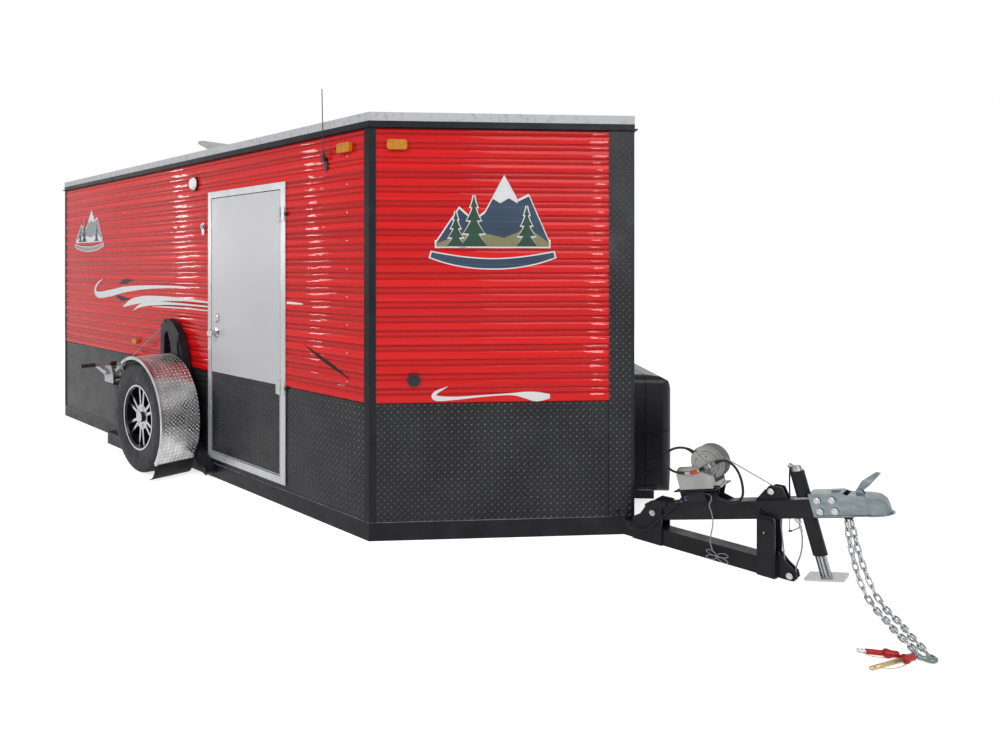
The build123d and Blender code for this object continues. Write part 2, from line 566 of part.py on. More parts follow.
CABLE_OUT = 1030.0
CABLE_PULL = (Vector(*APEX) - Vector(*CABLE_DRUM)).normalized()
PULL_ANGLE = degrees(atan2(CABLE_PULL.Y, CABLE_PULL.X))
CABLE_LUG = 84.0
CABLE_OFF_DRUM = CABLE_DRUM_RADIUS + CABLE_RADIUS + 0.3
FLAP_SHEET = 5.0
FLAP = ((FENDER_FRONT, FENDER_RADIUS - FENDER_SHEET), (-47.5, 422.0), (-56.6, 416.0))
LIP_WIDTH, GUSSET_FRONT, GUSSET_SPAN = 14.0, 15.0, 105.0


def round_spindle(angle, radius):
    """Point beside the house at an angle round the spindle, 0 forward and 90 up."""
    return (SPINDLE[0] + radius * cos(radians(angle)), SPINDLE[1] + radius * sin(radians(angle)))


FENDER_STRIPS = (
    (FENDER_INNER, FENDER_OUTER, FENDER_RADIUS - FENDER_SHEET, FENDER_RADIUS, FENDER_FRONT, FENDER_REAR),
    (FENDER_OUTER - LIP_WIDTH, FENDER_OUTER, FENDER_RADIUS - 16, FENDER_RADIUS + 5, FENDER_FRONT,
     FENDER_REAR),
    (FENDER_INNER, FENDER_INNER + 4, FENDER_RADIUS - 50, FENDER_RADIUS, GUSSET_FRONT,
     GUSSET_FRONT + GUSSET_SPAN),
)
TYRE_SHOULDER = TYRE_RADIUS - 12
TYRE_SECTION = [
    (TYRE_INNER + 24, RIM_RADIUS), (TYRE_INNER + 6, RIM_RADIUS + 28), (TYRE_INNER, RIM_RADIUS + 75),
    (TYRE_INNER + 8, TYRE_SHOULDER - 22), (TYRE_INNER + 26, TYRE_SHOULDER + 6), (TYRE_INNER + 60, TYRE_RADIUS),
    (TYRE_OUTER - 60, TYRE_RADIUS), (TYRE_OUTER - 26, TYRE_SHOULDER + 6), (TYRE_OUTER - 8, TYRE_SHOULDER - 22),
    (TYRE_OUTER, RIM_RADIUS + 75), (TYRE_OUTER - 6, RIM_RADIUS + 28), (TYRE_OUTER - 24, RIM_RADIUS),
]
# The rim is a barrel with a machined lip, and paired spokes run out from its hub disc like narrow Vs.
HUB_INNER, HUB_OUTER, HUB_RADIUS, HUB_STOP = ARM_OUTER + 18, TYRE_OUTER - 45, 48.0, TYRE_INNER + 92
RIM_REAR, RIM_FRONT, RIM_WALL = TYRE_INNER + 24, TYRE_OUTER - 24, 14.0
RIM_BARREL = [(RIM_REAR, RIM_RADIUS), (RIM_REAR, RIM_RADIUS - RIM_WALL), (RIM_FRONT, RIM_RADIUS - RIM_WALL),
              (RIM_FRONT + 12, RIM_RADIUS - 4), (RIM_FRONT + 12, RIM_RADIUS + 8),
              (RIM_FRONT + 6, RIM_RADIUS + 8), (RIM_FRONT + 6, RIM_RADIUS)]
RIM_HUB = [(HUB_INNER, SPINDLE_RADIUS + RUNNING_GAP), (HUB_INNER, HUB_RADIUS), (HUB_OUTER, HUB_RADIUS),
           (HUB_OUTER, 0), (HUB_STOP, 0), (HUB_STOP, SPINDLE_RADIUS + RUNNING_GAP)]
HUB_DISC, SPOKE_PAIRS, SPOKE_START, SPOKE_THICK, SPOKE_FACE = 80.0, 6, 90.0, 26.0, TYRE_OUTER - 40
SPOKE = [(60, 3), (60, 22), (RIM_RADIUS - 6, 44), (RIM_RADIUS - 6, 26)]
LUG_CIRCLE, LUG_COUNT, LUG_NUT, LUG_POCKET = 57.0, 5, 10.0, 12.0
CAP_RADIUS, CAP_OUTWARD = 34.0, 16.0
STAYS = [round_spindle(angle, FENDER_RADIUS - 25) for angle in (70, 82, 114)]

STAND_REAR, STAND_FRONT, STAND_OUT, POST_TOP = -768.0, -390.0, 130.0, 450.0
PLATE_INNER, PLATE_OUTER, PLATE_SHEET = 1008.0, 1092.0, 5.0
with BuildPart() as gear_mounts:
    for side_name, side in SIDES:
        for radius, inner, outer in (
            (PIVOT_RADIUS + 9, HALF_WIDTH, ARM_INNER - 1),
            (PIVOT_RADIUS, HALF_WIDTH, ARM_OUTER + 12),
            (PIVOT_RADIUS + 9, ARM_OUTER + 1, ARM_OUTER + 12),
        ):
            with BuildSketch(outward(side, inner, outer)):
                with Locations(PIVOT):
                    Circle(radius)
            extrude(amount=outer - inner)
        with BuildSketch(outward(side, HALF_WIDTH, HALF_WIDTH + STAND_OUT)):
            with Locations((STAND_REAR, 0)):
                Rectangle(STAND_FRONT - STAND_REAR, RAIL_TOP, align=Align.MIN)
        extrude(amount=STAND_OUT)
        with BuildSketch(outward(side, HALF_WIDTH + 30, HALF_WIDTH + 80)):
            with Locations((STAND_REAR, RAIL_TOP)):
                Rectangle(50, POST_TOP - RAIL_TOP, align=Align.MIN)
        extrude(amount=50)
        with BuildSketch(outward(side, PLATE_INNER - 3, PLATE_OUTER + PLATE_SHEET + 3)):
            with Locations((-884, POST_TOP - 8)):
                Rectangle(166, 8, align=Align.MIN)
        extrude(amount=PLATE_OUTER + PLATE_SHEET - PLATE_INNER + 6)
gear_mounts.part.label = "gear_mounts"
export_step(gear_mounts.part, "parts/gear_mounts.step")

WINCH_PLATE = [(-882, POST_TOP), (-720, POST_TOP), (-730, 520), (-766, 585), (-850, 592), (-882, 560)]
PLATE_ROUND = 12.0
DRUM_FLANGE = 44.0
TIE_RODS, TIE_ROD_RADIUS = ((-868, 466), (-738, 466), (-838, 578)), 6.0
RATCHET_GRIP, RATCHET_RADIUS, RATCHET_NECK, RATCHET_LONG = (-790.0, 598.0), 14.0, 42.0, 46.0
CRANK_STUB = (PLATE_OUTER + PLATE_SHEET, 1117.0)
with BuildPart() as hand_winches:
    for side_name, side in SIDES:
        for inner in (PLATE_INNER, PLATE_OUTER):
            with BuildSketch(outward(side, inner, inner + PLATE_SHEET)):
                with BuildLine():
                    FilletPolyline(*WINCH_PLATE, radius=PLATE_ROUND, close=True)
                make_face()
            extrude(amount=PLATE_SHEET)
        with BuildSketch(outward(side, PLATE_INNER, PLATE_OUTER)):
            with Locations(*TIE_RODS):
                Circle(TIE_ROD_RADIUS)
        extrude(amount=PLATE_OUTER - PLATE_INNER)
        with BuildSketch(outward(side, PLATE_OUTER - RATCHET_LONG, PLATE_OUTER)):
            with Locations(RATCHET_GRIP):
                Circle(RATCHET_RADIUS)
                Rectangle(RATCHET_RADIUS, RATCHET_NECK, align=(Align.CENTER, Align.MAX))
        extrude(amount=RATCHET_LONG)
        for radius, inner, outer in (
            (CABLE_DRUM_RADIUS, PLATE_INNER, PLATE_OUTER),
            (DRUM_FLANGE, PLATE_INNER + 10, PLATE_INNER + 13),
            (DRUM_FLANGE, PLATE_OUTER - 28, PLATE_OUTER - 25),
            (DRUM_FLANGE + 3, PLATE_OUTER - 22, PLATE_OUTER - 12),
        ):
            with BuildSketch(outward(side, inner, outer)):
                with Locations(CABLE_DRUM):
                    Circle(radius)
            extrude(amount=outer - inner)
        with BuildSketch(outward(side, *CRANK_STUB)):
            with Locations(CRANK_SHAFT):
                Circle(8)
        extrude(amount=CRANK_STUB[1] - CRANK_STUB[0])
hand_winches.part.label = "hand_winches"
export_step(hand_winches.part, "parts/hand_winches.step")

for side_name, side in SIDES:
    with BuildPart() as arm:
        with BuildSketch(outward(side, ARM_INNER, ARM_OUTER)):
            with Locations(PIVOT):
                Circle(38)
            with Locations(SPINDLE):
                Circle(48)
            make_hull()
            with BuildLine():
                FilletPolyline(*UPRIGHT, radius=UPRIGHT_ROUND, close=True)
            make_face()
            with BuildLine():
                FilletPolyline(*UPRIGHT_SLOT, radius=SLOT_ROUND, close=True)
            make_face(mode=Mode.SUBTRACT)
            with Locations(Location((APEX[0], APEX[1], 0), (0, 0, PULL_ANGLE))):
                Rectangle(CABLE_LUG, 24, align=(Align.MAX, Align.CENTER))
                Circle(10, mode=Mode.SUBTRACT)
            with Locations(PIVOT):
                Circle(PIVOT_RADIUS + RUNNING_GAP, mode=Mode.SUBTRACT)
        extrude(amount=ARM_THICK)
        with BuildSketch(outward(side, ARM_OUTER, ARM_OUTER + LEG_FLANGE)):
            Polygon(*FRONT_LEG, align=None)
            offset(amount=-LEG_SHEET, mode=Mode.SUBTRACT)
        extrude(amount=LEG_FLANGE)
        for radius, length in ((SPINDLE_RADIUS, 112), (34, 12)):
            with BuildSketch(outward(side, ARM_OUTER, ARM_OUTER + length)):
                with Locations(SPINDLE):
                    Circle(radius)
            extrude(amount=length)
    arm.part.label = f"{side_name}_arm"
    export_step(arm.part, f"parts/{side_name}_arm.step")

    cable_start = Vector(*CABLE_DRUM) + CABLE_PULL.rotate(Axis.Z, 90) * CABLE_OFF_DRUM
    cable_run = Vector(*APEX) - CABLE_PULL * (CABLE_LUG + 0.5) - cable_start
    with BuildPart() as lift_cable:
        cable_foot = (cable_start.X, side * CABLE_OUT, cable_start.Y)
        with BuildSketch(Plane(origin=cable_foot, z_dir=(cable_run.X, 0, cable_run.Y))):
            Circle(CABLE_RADIUS)
        extrude(amount=cable_run.length)
    lift_cable.part.label = f"{side_name}_lift_cable"
    export_step(lift_cable.part, f"parts/{side_name}_lift_cable.step")

    with BuildPart() as fender:
        for inner, outer, from_radius, to_radius, from_angle, to_angle in FENDER_STRIPS:
            with BuildSketch(outward(side, inner, outer)):
                with BuildLine():
                    low = CenterArc(SPINDLE, from_radius, from_angle, to_angle - from_angle)
                    high = CenterArc(SPINDLE, to_radius, from_angle, to_angle - from_angle)
                    Line(low @ 0, high @ 0)
                    Line(low @ 1, high @ 1)
                make_face()
            extrude(amount=outer - inner)
        with BuildSketch(outward(side, ARM_OUTER, FENDER_INNER)):
            with Locations(*STAYS):
                Circle(12)
        extrude(amount=FENDER_INNER - ARM_OUTER)
    fender.part.label = f"{side_name}_fender"
    export_step(fender.part, f"parts/{side_name}_fender.step")

    with BuildPart() as flap:
        with BuildSketch(outward(side, FENDER_INNER, FENDER_OUTER)):
            with BuildLine():
                inside = ThreePointArc(*[round_spindle(angle, radius) for angle, radius in FLAP])
                outside = ThreePointArc(
                    *[round_spindle(angle, radius + FLAP_SHEET) for angle, radius in FLAP]
                )
                Line(inside @ 0, outside @ 0)
                Line(inside @ 1, outside @ 1)
            make_face()
        extrude(amount=FENDER_OUTER - FENDER_INNER)
    flap.part.label = f"{side_name}_flap"
    export_step(flap.part, f"parts/{side_name}_flap.step")

    wheel_axis = Axis((SPINDLE[0], 0, SPINDLE[1]), (0, 1, 0))
    wheel_plane = Plane(origin=(SPINDLE[0], 0, SPINDLE[1]), x_dir=(0, side, 0), z_dir=(side, 0, 0))
    with BuildPart() as tyre:
        with BuildSketch(wheel_plane):
            Polygon(*TYRE_SECTION, align=None)
        revolve(axis=wheel_axis)
    tyre.part.label = f"{side_name}_tyre"
    export_step(tyre.part, f"parts/{side_name}_tyre.step")

    with BuildPart() as rim:
        with BuildSketch(wheel_plane):
            Polygon(*RIM_BARREL, align=None)
            Polygon(*RIM_HUB, align=None)
        revolve(axis=wheel_axis)
        with BuildSketch(outward(side, SPOKE_FACE - SPOKE_THICK, SPOKE_FACE)):
            with Locations(SPINDLE):
                Circle(HUB_DISC)
                with PolarLocations(0, SPOKE_PAIRS, start_angle=SPOKE_START):
                    Polygon(*SPOKE, align=None)
                    Polygon(*[(x, -y) for x, y in SPOKE], align=None)
        extrude(amount=SPOKE_THICK)
        with BuildSketch(outward(side, SPOKE_FACE - LUG_POCKET, SPOKE_FACE)):
            with Locations(SPINDLE):
                with PolarLocations(LUG_CIRCLE, LUG_COUNT):
                    Circle(LUG_NUT + 3)
                    RegularPolygon(LUG_NUT, 6, mode=Mode.SUBTRACT)
        extrude(amount=LUG_POCKET, mode=Mode.SUBTRACT)
        with BuildSketch(outward(side, SPOKE_FACE, SPOKE_FACE + CAP_OUTWARD)):
            with Locations(SPINDLE):
                Circle(CAP_RADIUS)
        extrude(amount=CAP_OUTWARD)
    rim.part.label = f"{side_name}_rim"
    export_step(rim.part, f"parts/{side_name}_rim.step")

    with BuildPart() as crank:
        with BuildSketch(outward(side, CRANK_STUB[0] + 5, CRANK_STUB[1])):
            with Locations(CRANK_SHAFT):
                Circle(16)
            with Locations(CRANK_GRIP):
                Circle(12)
            make_hull()
        extrude(amount=CRANK_STUB[1] - CRANK_STUB[0] - 5)
        with BuildSketch(outward(side, CRANK_STUB[1], CRANK_STUB[1] + 110)):
            with Locations(CRANK_GRIP):
                Circle(15)
        extrude(amount=110)
        with BuildSketch(outward(side, *CRANK_STUB)):
            with Locations(CRANK_SHAFT):
                Circle(8 + RUNNING_GAP)
        extrude(amount=CRANK_STUB[1] - CRANK_STUB[0], mode=Mode.SUBTRACT)
    crank.part.label = f"{side_name}_crank"
    export_step(crank.part, f"parts/{side_name}_crank.step")

# --- tongue: the lower beam, hinge plates and cradle stay with the frame --------------------------
TUBE_HALF = TUBE / 2
MITRE_X = NOSE_TIP - TUBE_HALF / tan(NOSE_ANGLE)        # where the lower beam's sides meet the nose frame
HINGE_PLATE = 11.2
HINGE_PLATE_FOOT = [(2925, 0), (2925, 85), (3072, 85), (3072, 0)]
HINGE_PLATE_HEAD = [(2925, 80), (2925, 105), (2964, 130), (3001, 187), (3032, 210), (3092, 211), (3092, 194),
                    (3072, 178), (3072, 80)]
HINGE_CLEAR = 1.2                             # between each hinge plate and the moving beam
TONGUE_BOLT_RADIUS = 9.5
BEAM_REAR, BEAM_FRONT = -40.0, 850.0
ROPE_RADIUS = 3.0
SHEAVE_RIM, SHEAVE_GROOVE = 21.0, 16.0
ROPE_ROUND_SHEAVE = SHEAVE_GROOVE + ROPE_RADIUS + 0.1


def at_y(y):
    """XZ sketch plane at one Y; a positive extrusion runs towards -Y."""
    return Plane.XZ.offset(-y)


def beam_at_y(y):
    """Sketch plane at one Y with x along the tongue's upper beam from its pin and y square to it."""
    rise = radians(TONGUE_RISE)
    return Plane(origin=(TONGUE_PIN[0], y, TONGUE_PIN[1]), x_dir=(cos(rise), 0, sin(rise)), z_dir=(0, -1, 0))


def across_beam(along):
    """Plane square to the upper beam's top, looking down at it: x along the beam, y across, normal up."""
    rise = radians(TONGUE_RISE)
    origin = beam_at_y(0).from_local_coords(Vector(along, 0, 0))
    return Plane(origin=origin, x_dir=(cos(rise), 0, sin(rise)), z_dir=(-sin(rise), 0, cos(rise)))


def sheave_half():
    """Half section of a rope sheave, x out from its axis and y across it."""
    return [(0, -9), (SHEAVE_RIM, -9), (SHEAVE_RIM, -7), (SHEAVE_GROOVE, -ROPE_RADIUS - 0.2),
            (SHEAVE_GROOVE, ROPE_RADIUS + 0.2), (SHEAVE_RIM, 7), (SHEAVE_RIM, 9), (0, 9)]


with BuildPart() as tongue_base:
    with BuildSketch():
        Polygon((NOSE_TIP, 0), (MITRE_X, -TUBE_HALF), (LOWER_BEAM_END, -TUBE_HALF),
                (LOWER_BEAM_END, TUBE_HALF), (MITRE_X, TUBE_HALF), align=None)
    extrude(amount=TUBE)
    for side_name, side in SIDES:
        for inner, outline in (
            (TUBE_HALF, HINGE_PLATE_FOOT),
            (TUBE_HALF + HINGE_CLEAR, HINGE_PLATE_HEAD),
        ):
            outer = TUBE_HALF + HINGE_PLATE
            with BuildSketch(outward(side, inner, outer)):
                Polygon(*outline, align=None)
            extrude(amount=outer - inner)
        with BuildSketch(outward(side, TUBE_HALF + HINGE_PLATE, TUBE_HALF + HINGE_PLATE + 11)):
            with Locations(TONGUE_PIN):
                RegularPolygon(15, 6)
        extrude(amount=11)
    with BuildSketch(at_y(TUBE_HALF + HINGE_PLATE)):
        with Locations(TONGUE_PIN):
            Circle(TONGUE_BOLT_RADIUS)
    extrude(amount=TUBE + 2 * HINGE_PLATE)
tongue_base.part.label = "tongue_base"
export_step(tongue_base.part, "parts/tongue_base.step")

LOWER_SHEAVE = (3622.0, 22.0)
CRADLE_INNER, CRADLE_OUTER, CRADLE_TOP = 43.5, 51.5, 245.0
with BuildPart() as tongue_cradle:
    for side_name, side in SIDES:
        for inner, outer, foot, top in (
            (TUBE_HALF, CRADLE_OUTER, 0, TUBE + 10),
            (CRADLE_INNER, CRADLE_OUTER, TUBE, CRADLE_TOP),
        ):
            with BuildSketch(outward(side, inner, outer)):
                with Locations((CRADLE_REAR, foot)):
                    Rectangle(CRADLE_FRONT - CRADLE_REAR, top - foot, align=Align.MIN)
                with Locations(LOCK_HOLE):
                    Circle(LOCK_HOLE_RADIUS, mode=Mode.SUBTRACT)
            extrude(amount=outer - inner)
        with BuildSketch(Plane.YZ.offset(CRADLE_REAR)):
            Polygon((side * CRADLE_INNER, CRADLE_TOP), (side * CRADLE_OUTER, CRADLE_TOP), (side * 70, 262),
                    (side * 64, 267), align=None)
        extrude(amount=CRADLE_FRONT - CRADLE_REAR)
        with BuildSketch(outward(side, 12, 20)):
            Polygon((LOWER_BEAM_END, 0), (LOWER_BEAM_END, 111), (3610, 73), (3647, 43), (3652, 19), (3638, 2),
                    (3628, 0), align=None)
        extrude(amount=8)
    with BuildSketch(Plane.XY.offset(TUBE)):
        with Locations((CRADLE_REAR, 0)):
            Rectangle(CRADLE_FRONT - CRADLE_REAR, 2 * CRADLE_OUTER, align=(Align.MIN, Align.CENTER))
    extrude(amount=10)
    with BuildSketch(at_y(26)):
        with Locations(LOWER_SHEAVE):
            Circle(6)
    extrude(amount=52)
    with BuildSketch(Plane(origin=(LOWER_SHEAVE[0], 0, LOWER_SHEAVE[1]))):
        Polygon(*sheave_half(), align=None)
    revolve(axis=Axis((LOWER_SHEAVE[0], 0, LOWER_SHEAVE[1]), (0, 1, 0)))
tongue_cradle.part.label = "tongue_cradle"
export_step(tongue_cradle.part, "parts/tongue_cradle.step")

# --- tongue: the upper beam and what it carries ---------------------------------------------------
TOP_SHEAVE = (557.0, 73.0)
LOCK_BORE_AT = 504.0
ROPE_SLOT = (564.0, 44.0, 16.0)
JACK_TUBE_RADIUS, JACK_BORE_RADIUS, JACK_LEG_RADIUS = 28.5, 25.0, 22.3
ANCHOR_AT, ANCHOR_HEAD, ANCHOR_FOOT = 628.0, -28.0, -66.1
CHAIN_BOLT_AT, CHAIN_BOLT_REACH = 819.0, 50.0
with BuildPart() as tongue_beam:
    with BuildSketch(beam_at_y(TUBE_HALF)):
        with Locations((BEAM_REAR, 0)):
            Rectangle(BEAM_FRONT - BEAM_REAR, TUBE, align=(Align.MIN, Align.CENTER))
        Circle(TONGUE_BOLT_RADIUS + RUNNING_GAP, mode=Mode.SUBTRACT)
        with Locations((LOCK_BORE_AT, 0)):
            Circle(LOCK_HOLE_RADIUS, mode=Mode.SUBTRACT)
    extrude(amount=TUBE)
    for side_name, side in SIDES:
        with BuildSketch(beam_at_y(18 * side + 4)):
            Polygon((476, 34), (532, 81), (571, 95), (606, 86), (614, 36), align=None)
        extrude(amount=8)
    with BuildSketch(beam_at_y(28)):
        with Locations(TOP_SHEAVE):
            Circle(6)
    extrude(amount=56)
    with BuildSketch(across_beam(TOP_SHEAVE[0]).offset(TOP_SHEAVE[1])):
        Polygon(*sheave_half(), align=None)
    revolve(axis=Axis(across_beam(TOP_SHEAVE[0]).offset(TOP_SHEAVE[1]).origin, (0, 1, 0)))
    with BuildSketch(across_beam(0).offset(-2 * TUBE)):
        with Locations((ROPE_SLOT[0], 0)):
            SlotOverall(ROPE_SLOT[1], ROPE_SLOT[2])
    extrude(amount=2 * TUBE + TUBE_HALF, mode=Mode.SUBTRACT)
    with BuildSketch(across_beam(JACK_AT).offset(-TUBE)):
        Circle(JACK_TUBE_RADIUS)
    extrude(amount=2 * TUBE, mode=Mode.SUBTRACT)
    with BuildSketch(beam_at_y(5)):
        with Locations((ANCHOR_AT, ANCHOR_FOOT)):
            Rectangle(16, ANCHOR_HEAD - ANCHOR_FOOT, align=(Align.CENTER, Align.MIN))
    extrude(amount=10)
    with BuildSketch(across_beam(CHAIN_BOLT_AT).offset(-CHAIN_BOLT_REACH)):
        RegularPolygon(17, 6)
    extrude(amount=CHAIN_BOLT_REACH - TUBE_HALF + 1)
tongue_beam.part.label = "tongue_beam"
export_step(tongue_beam.part, "parts/tongue_beam.step")

MOUNT_REAR, MOUNT_FRONT, MOUNT_TOP = 155.0, 350.0, 105.0
MOUNT_SHEET, MOUNT_HALF_WIDTH = 5.0, 95.0
SWITCH_BOX, POWER_GLAND, POWER_GLAND_OUT = (240.0, 70.0), (322.5, 83.3), 12.0
with BuildPart() as tongue_winch_mount:
    with BuildSketch(beam_at_y(TUBE_HALF)):
        Polygon((MOUNT_REAR, TUBE_HALF), (MOUNT_REAR, MOUNT_TOP), (MOUNT_FRONT, MOUNT_TOP), (330, 62),
                (368, TUBE_HALF), align=None)
    extrude(amount=TUBE)
    with BuildSketch(beam_at_y(TUBE_HALF - MOUNT_SHEET)):
        with Locations((MOUNT_REAR - 1, TUBE_HALF)):
            Rectangle(MOUNT_FRONT - MOUNT_REAR + 21, MOUNT_TOP - MOUNT_SHEET - TUBE_HALF, align=Align.MIN)
    extrude(amount=TUBE - 2 * MOUNT_SHEET, mode=Mode.SUBTRACT)
    with BuildSketch(beam_at_y(MOUNT_HALF_WIDTH)):
        with Locations((MOUNT_REAR, MOUNT_TOP - MOUNT_SHEET)):
            Rectangle(MOUNT_FRONT - MOUNT_REAR, MOUNT_SHEET, align=Align.MIN)
    extrude(amount=2 * MOUNT_HALF_WIDTH)
    with BuildSketch(beam_at_y(-TUBE_HALF)):
        with Locations(SWITCH_BOX):
            RectangleRounded(86, 42, 6)
    extrude(amount=28)
    with BuildSketch(beam_at_y(-TUBE_HALF)):
        with Locations(POWER_GLAND):
            Circle(8)
    extrude(amount=POWER_GLAND_OUT)
tongue_winch_mount.part.label = "tongue_winch_mount"
export_step(tongue_winch_mount.part, "parts/tongue_winch_mount.step")

WINCH_DRUM = (322.0, 214.0)
DRUM_WOUND = 40.0                             # radius of the rope's centre on the drum
ROPE_OUT = 20.0
GEARBOX = [(180, MOUNT_TOP), (180, 178), (192, 206), (262, 206), (345, 168), (345, MOUNT_TOP)]
GEARBOX_FACE, GEARBOX_DEEP, GEARBOX_DRAFT, GEARBOX_ROUND = -62.0, 28.0, 8.0, 6.0
WINCH_FAR = 50.0
WINCH_BASE = [(200, MOUNT_TOP), (200, 128), (345, 128), (345, MOUNT_TOP)]
WINCH_CHEEK = [(270, 120), (290, 262), (322, 282), (354, 262), (345, 120)]
CHEEK_SHEET = 8.0
# Half section of the reel, radius and Y: a hub between two flanges, then the ringed rim, the near disc with
# its raised edge, and a boss in its middle.
REEL = [(0, 42), (38.5, 42), (38.5, 34), (76, 34), (76, 30), (38.5, 30), (38.5, -36), (76, -36), (76, -40),
        (70, -40), (70, -43), (74, -43), (74, -46), (66, -46), (66, -49), (68, -49), (68, -52), (54, -52),
        (54, -66), (47, -66), (44, -60), (16, -60), (14, -68), (0, -68)]
REEL_FACE, REEL_HOLE, REEL_HOLE_CIRCLE, REEL_HOLES, REEL_HOLE_DEEP = -60.0, 5.0, 31.0, 5, 7.0
LEAD_GLAND_ANGLE, LEAD_GLAND_REACH, LEAD_GLAND_Y = 130.0, 66.0, -59.0
drum_to_sheave = Vector(*TOP_SHEAVE) - Vector(*WINCH_DRUM)
rope_lean = degrees(acos((DRUM_WOUND - ROPE_ROUND_SHEAVE) / drum_to_sheave.length))
rope_side = drum_to_sheave.normalized().rotate(Axis.Z, rope_lean)
rope_from = beam_at_y(0).from_local_coords(
    Vector(WINCH_DRUM[0], WINCH_DRUM[1], -ROPE_OUT) + rope_side * DRUM_WOUND
)
rope_to = beam_at_y(0).from_local_coords(Vector(*TOP_SHEAVE) + rope_side * ROPE_ROUND_SHEAVE)
with BuildPart() as tongue_winch:
    with BuildSketch(beam_at_y(GEARBOX_FACE)):
        with BuildLine():
            FilletPolyline(*GEARBOX, radius=GEARBOX_ROUND, close=True)
        make_face()
    extrude(amount=GEARBOX_DEEP, taper=GEARBOX_DRAFT)
    with BuildSketch(beam_at_y(WINCH_FAR)):
        Polygon(*WINCH_BASE, align=None)
    extrude(amount=WINCH_FAR - GEARBOX_FACE)
    with BuildSketch(beam_at_y(WINCH_FAR)):
        Polygon(*WINCH_CHEEK, align=None)
    extrude(amount=CHEEK_SHEET)
    with BuildSketch(across_beam(WINCH_DRUM[0]).offset(WINCH_DRUM[1])):
        Polygon(*REEL, align=None)
    revolve(axis=Axis(across_beam(WINCH_DRUM[0]).offset(WINCH_DRUM[1]).origin, (0, 1, 0)))
    with BuildSketch(beam_at_y(REEL_FACE + REEL_HOLE_DEEP)):
        with Locations(WINCH_DRUM):
            with PolarLocations(REEL_HOLE_CIRCLE, REEL_HOLES):
                Circle(REEL_HOLE)
    extrude(amount=REEL_HOLE_DEEP, mode=Mode.SUBTRACT)
    # The rope leaves the drum's top and runs down to the top sheave's.
    with BuildSketch(Plane(origin=rope_from, z_dir=rope_to - rope_from)):
        Circle(ROPE_RADIUS)
    extrude(amount=(rope_to - rope_from).length)
    with BuildSketch(beam_at_y(LEAD_GLAND_Y + 7)):
        with Locations(Location((WINCH_DRUM[0], WINCH_DRUM[1], 0), (0, 0, LEAD_GLAND_ANGLE))):
            Rectangle(LEAD_GLAND_REACH, 16, align=(Align.MIN, Align.CENTER))
    extrude(amount=14)
tongue_winch.part.label = "tongue_winch"
export_step(tongue_winch.part, "parts/tongue_winch.step")

JACK_FOOT, JACK_HEAD = -193.0, 150.0
CRANK_SOCKET = across_beam(JACK_AT).offset(JACK_HEAD + 4).rotated((0, -50, 0))
with BuildPart() as jack_tube:
    with BuildSketch(across_beam(JACK_AT).offset(JACK_FOOT)):
        Circle(JACK_TUBE_RADIUS)
    extrude(amount=JACK_HEAD - JACK_FOOT)
    with BuildSketch(across_beam(JACK_AT).offset(TUBE_HALF)):
        Rectangle(54, 70)
    extrude(amount=7)
    with BuildSketch(across_beam(JACK_AT).offset(JACK_HEAD)):
        Circle(24)
    extrude(amount=20, taper=12)
    with BuildSketch(CRANK_SOCKET):
        Circle(11)
    extrude(amount=34)
    with BuildSketch(across_beam(JACK_AT).offset(JACK_FOOT)):
        Circle(JACK_BORE_RADIUS)
    extrude(amount=JACK_HEAD - JACK_FOOT - 3, mode=Mode.SUBTRACT)
jack_tube.part.label = "jack_tube"
export_step(jack_tube.part, "parts/jack_tube.step")

LEG_TOP, LEG_FOOT = 85.0, -285.0
with BuildPart() as jack_leg:
    with BuildSketch(across_beam(JACK_AT).offset(LEG_FOOT)):
        Circle(JACK_LEG_RADIUS)
    extrude(amount=LEG_TOP - LEG_FOOT)
    with BuildSketch(across_beam(JACK_AT).offset(LEG_FOOT)):
        RectangleRounded(150, 100, 8)
    extrude(amount=8)
jack_leg.part.label = "jack_leg"
export_step(jack_leg.part, "parts/jack_leg.step")

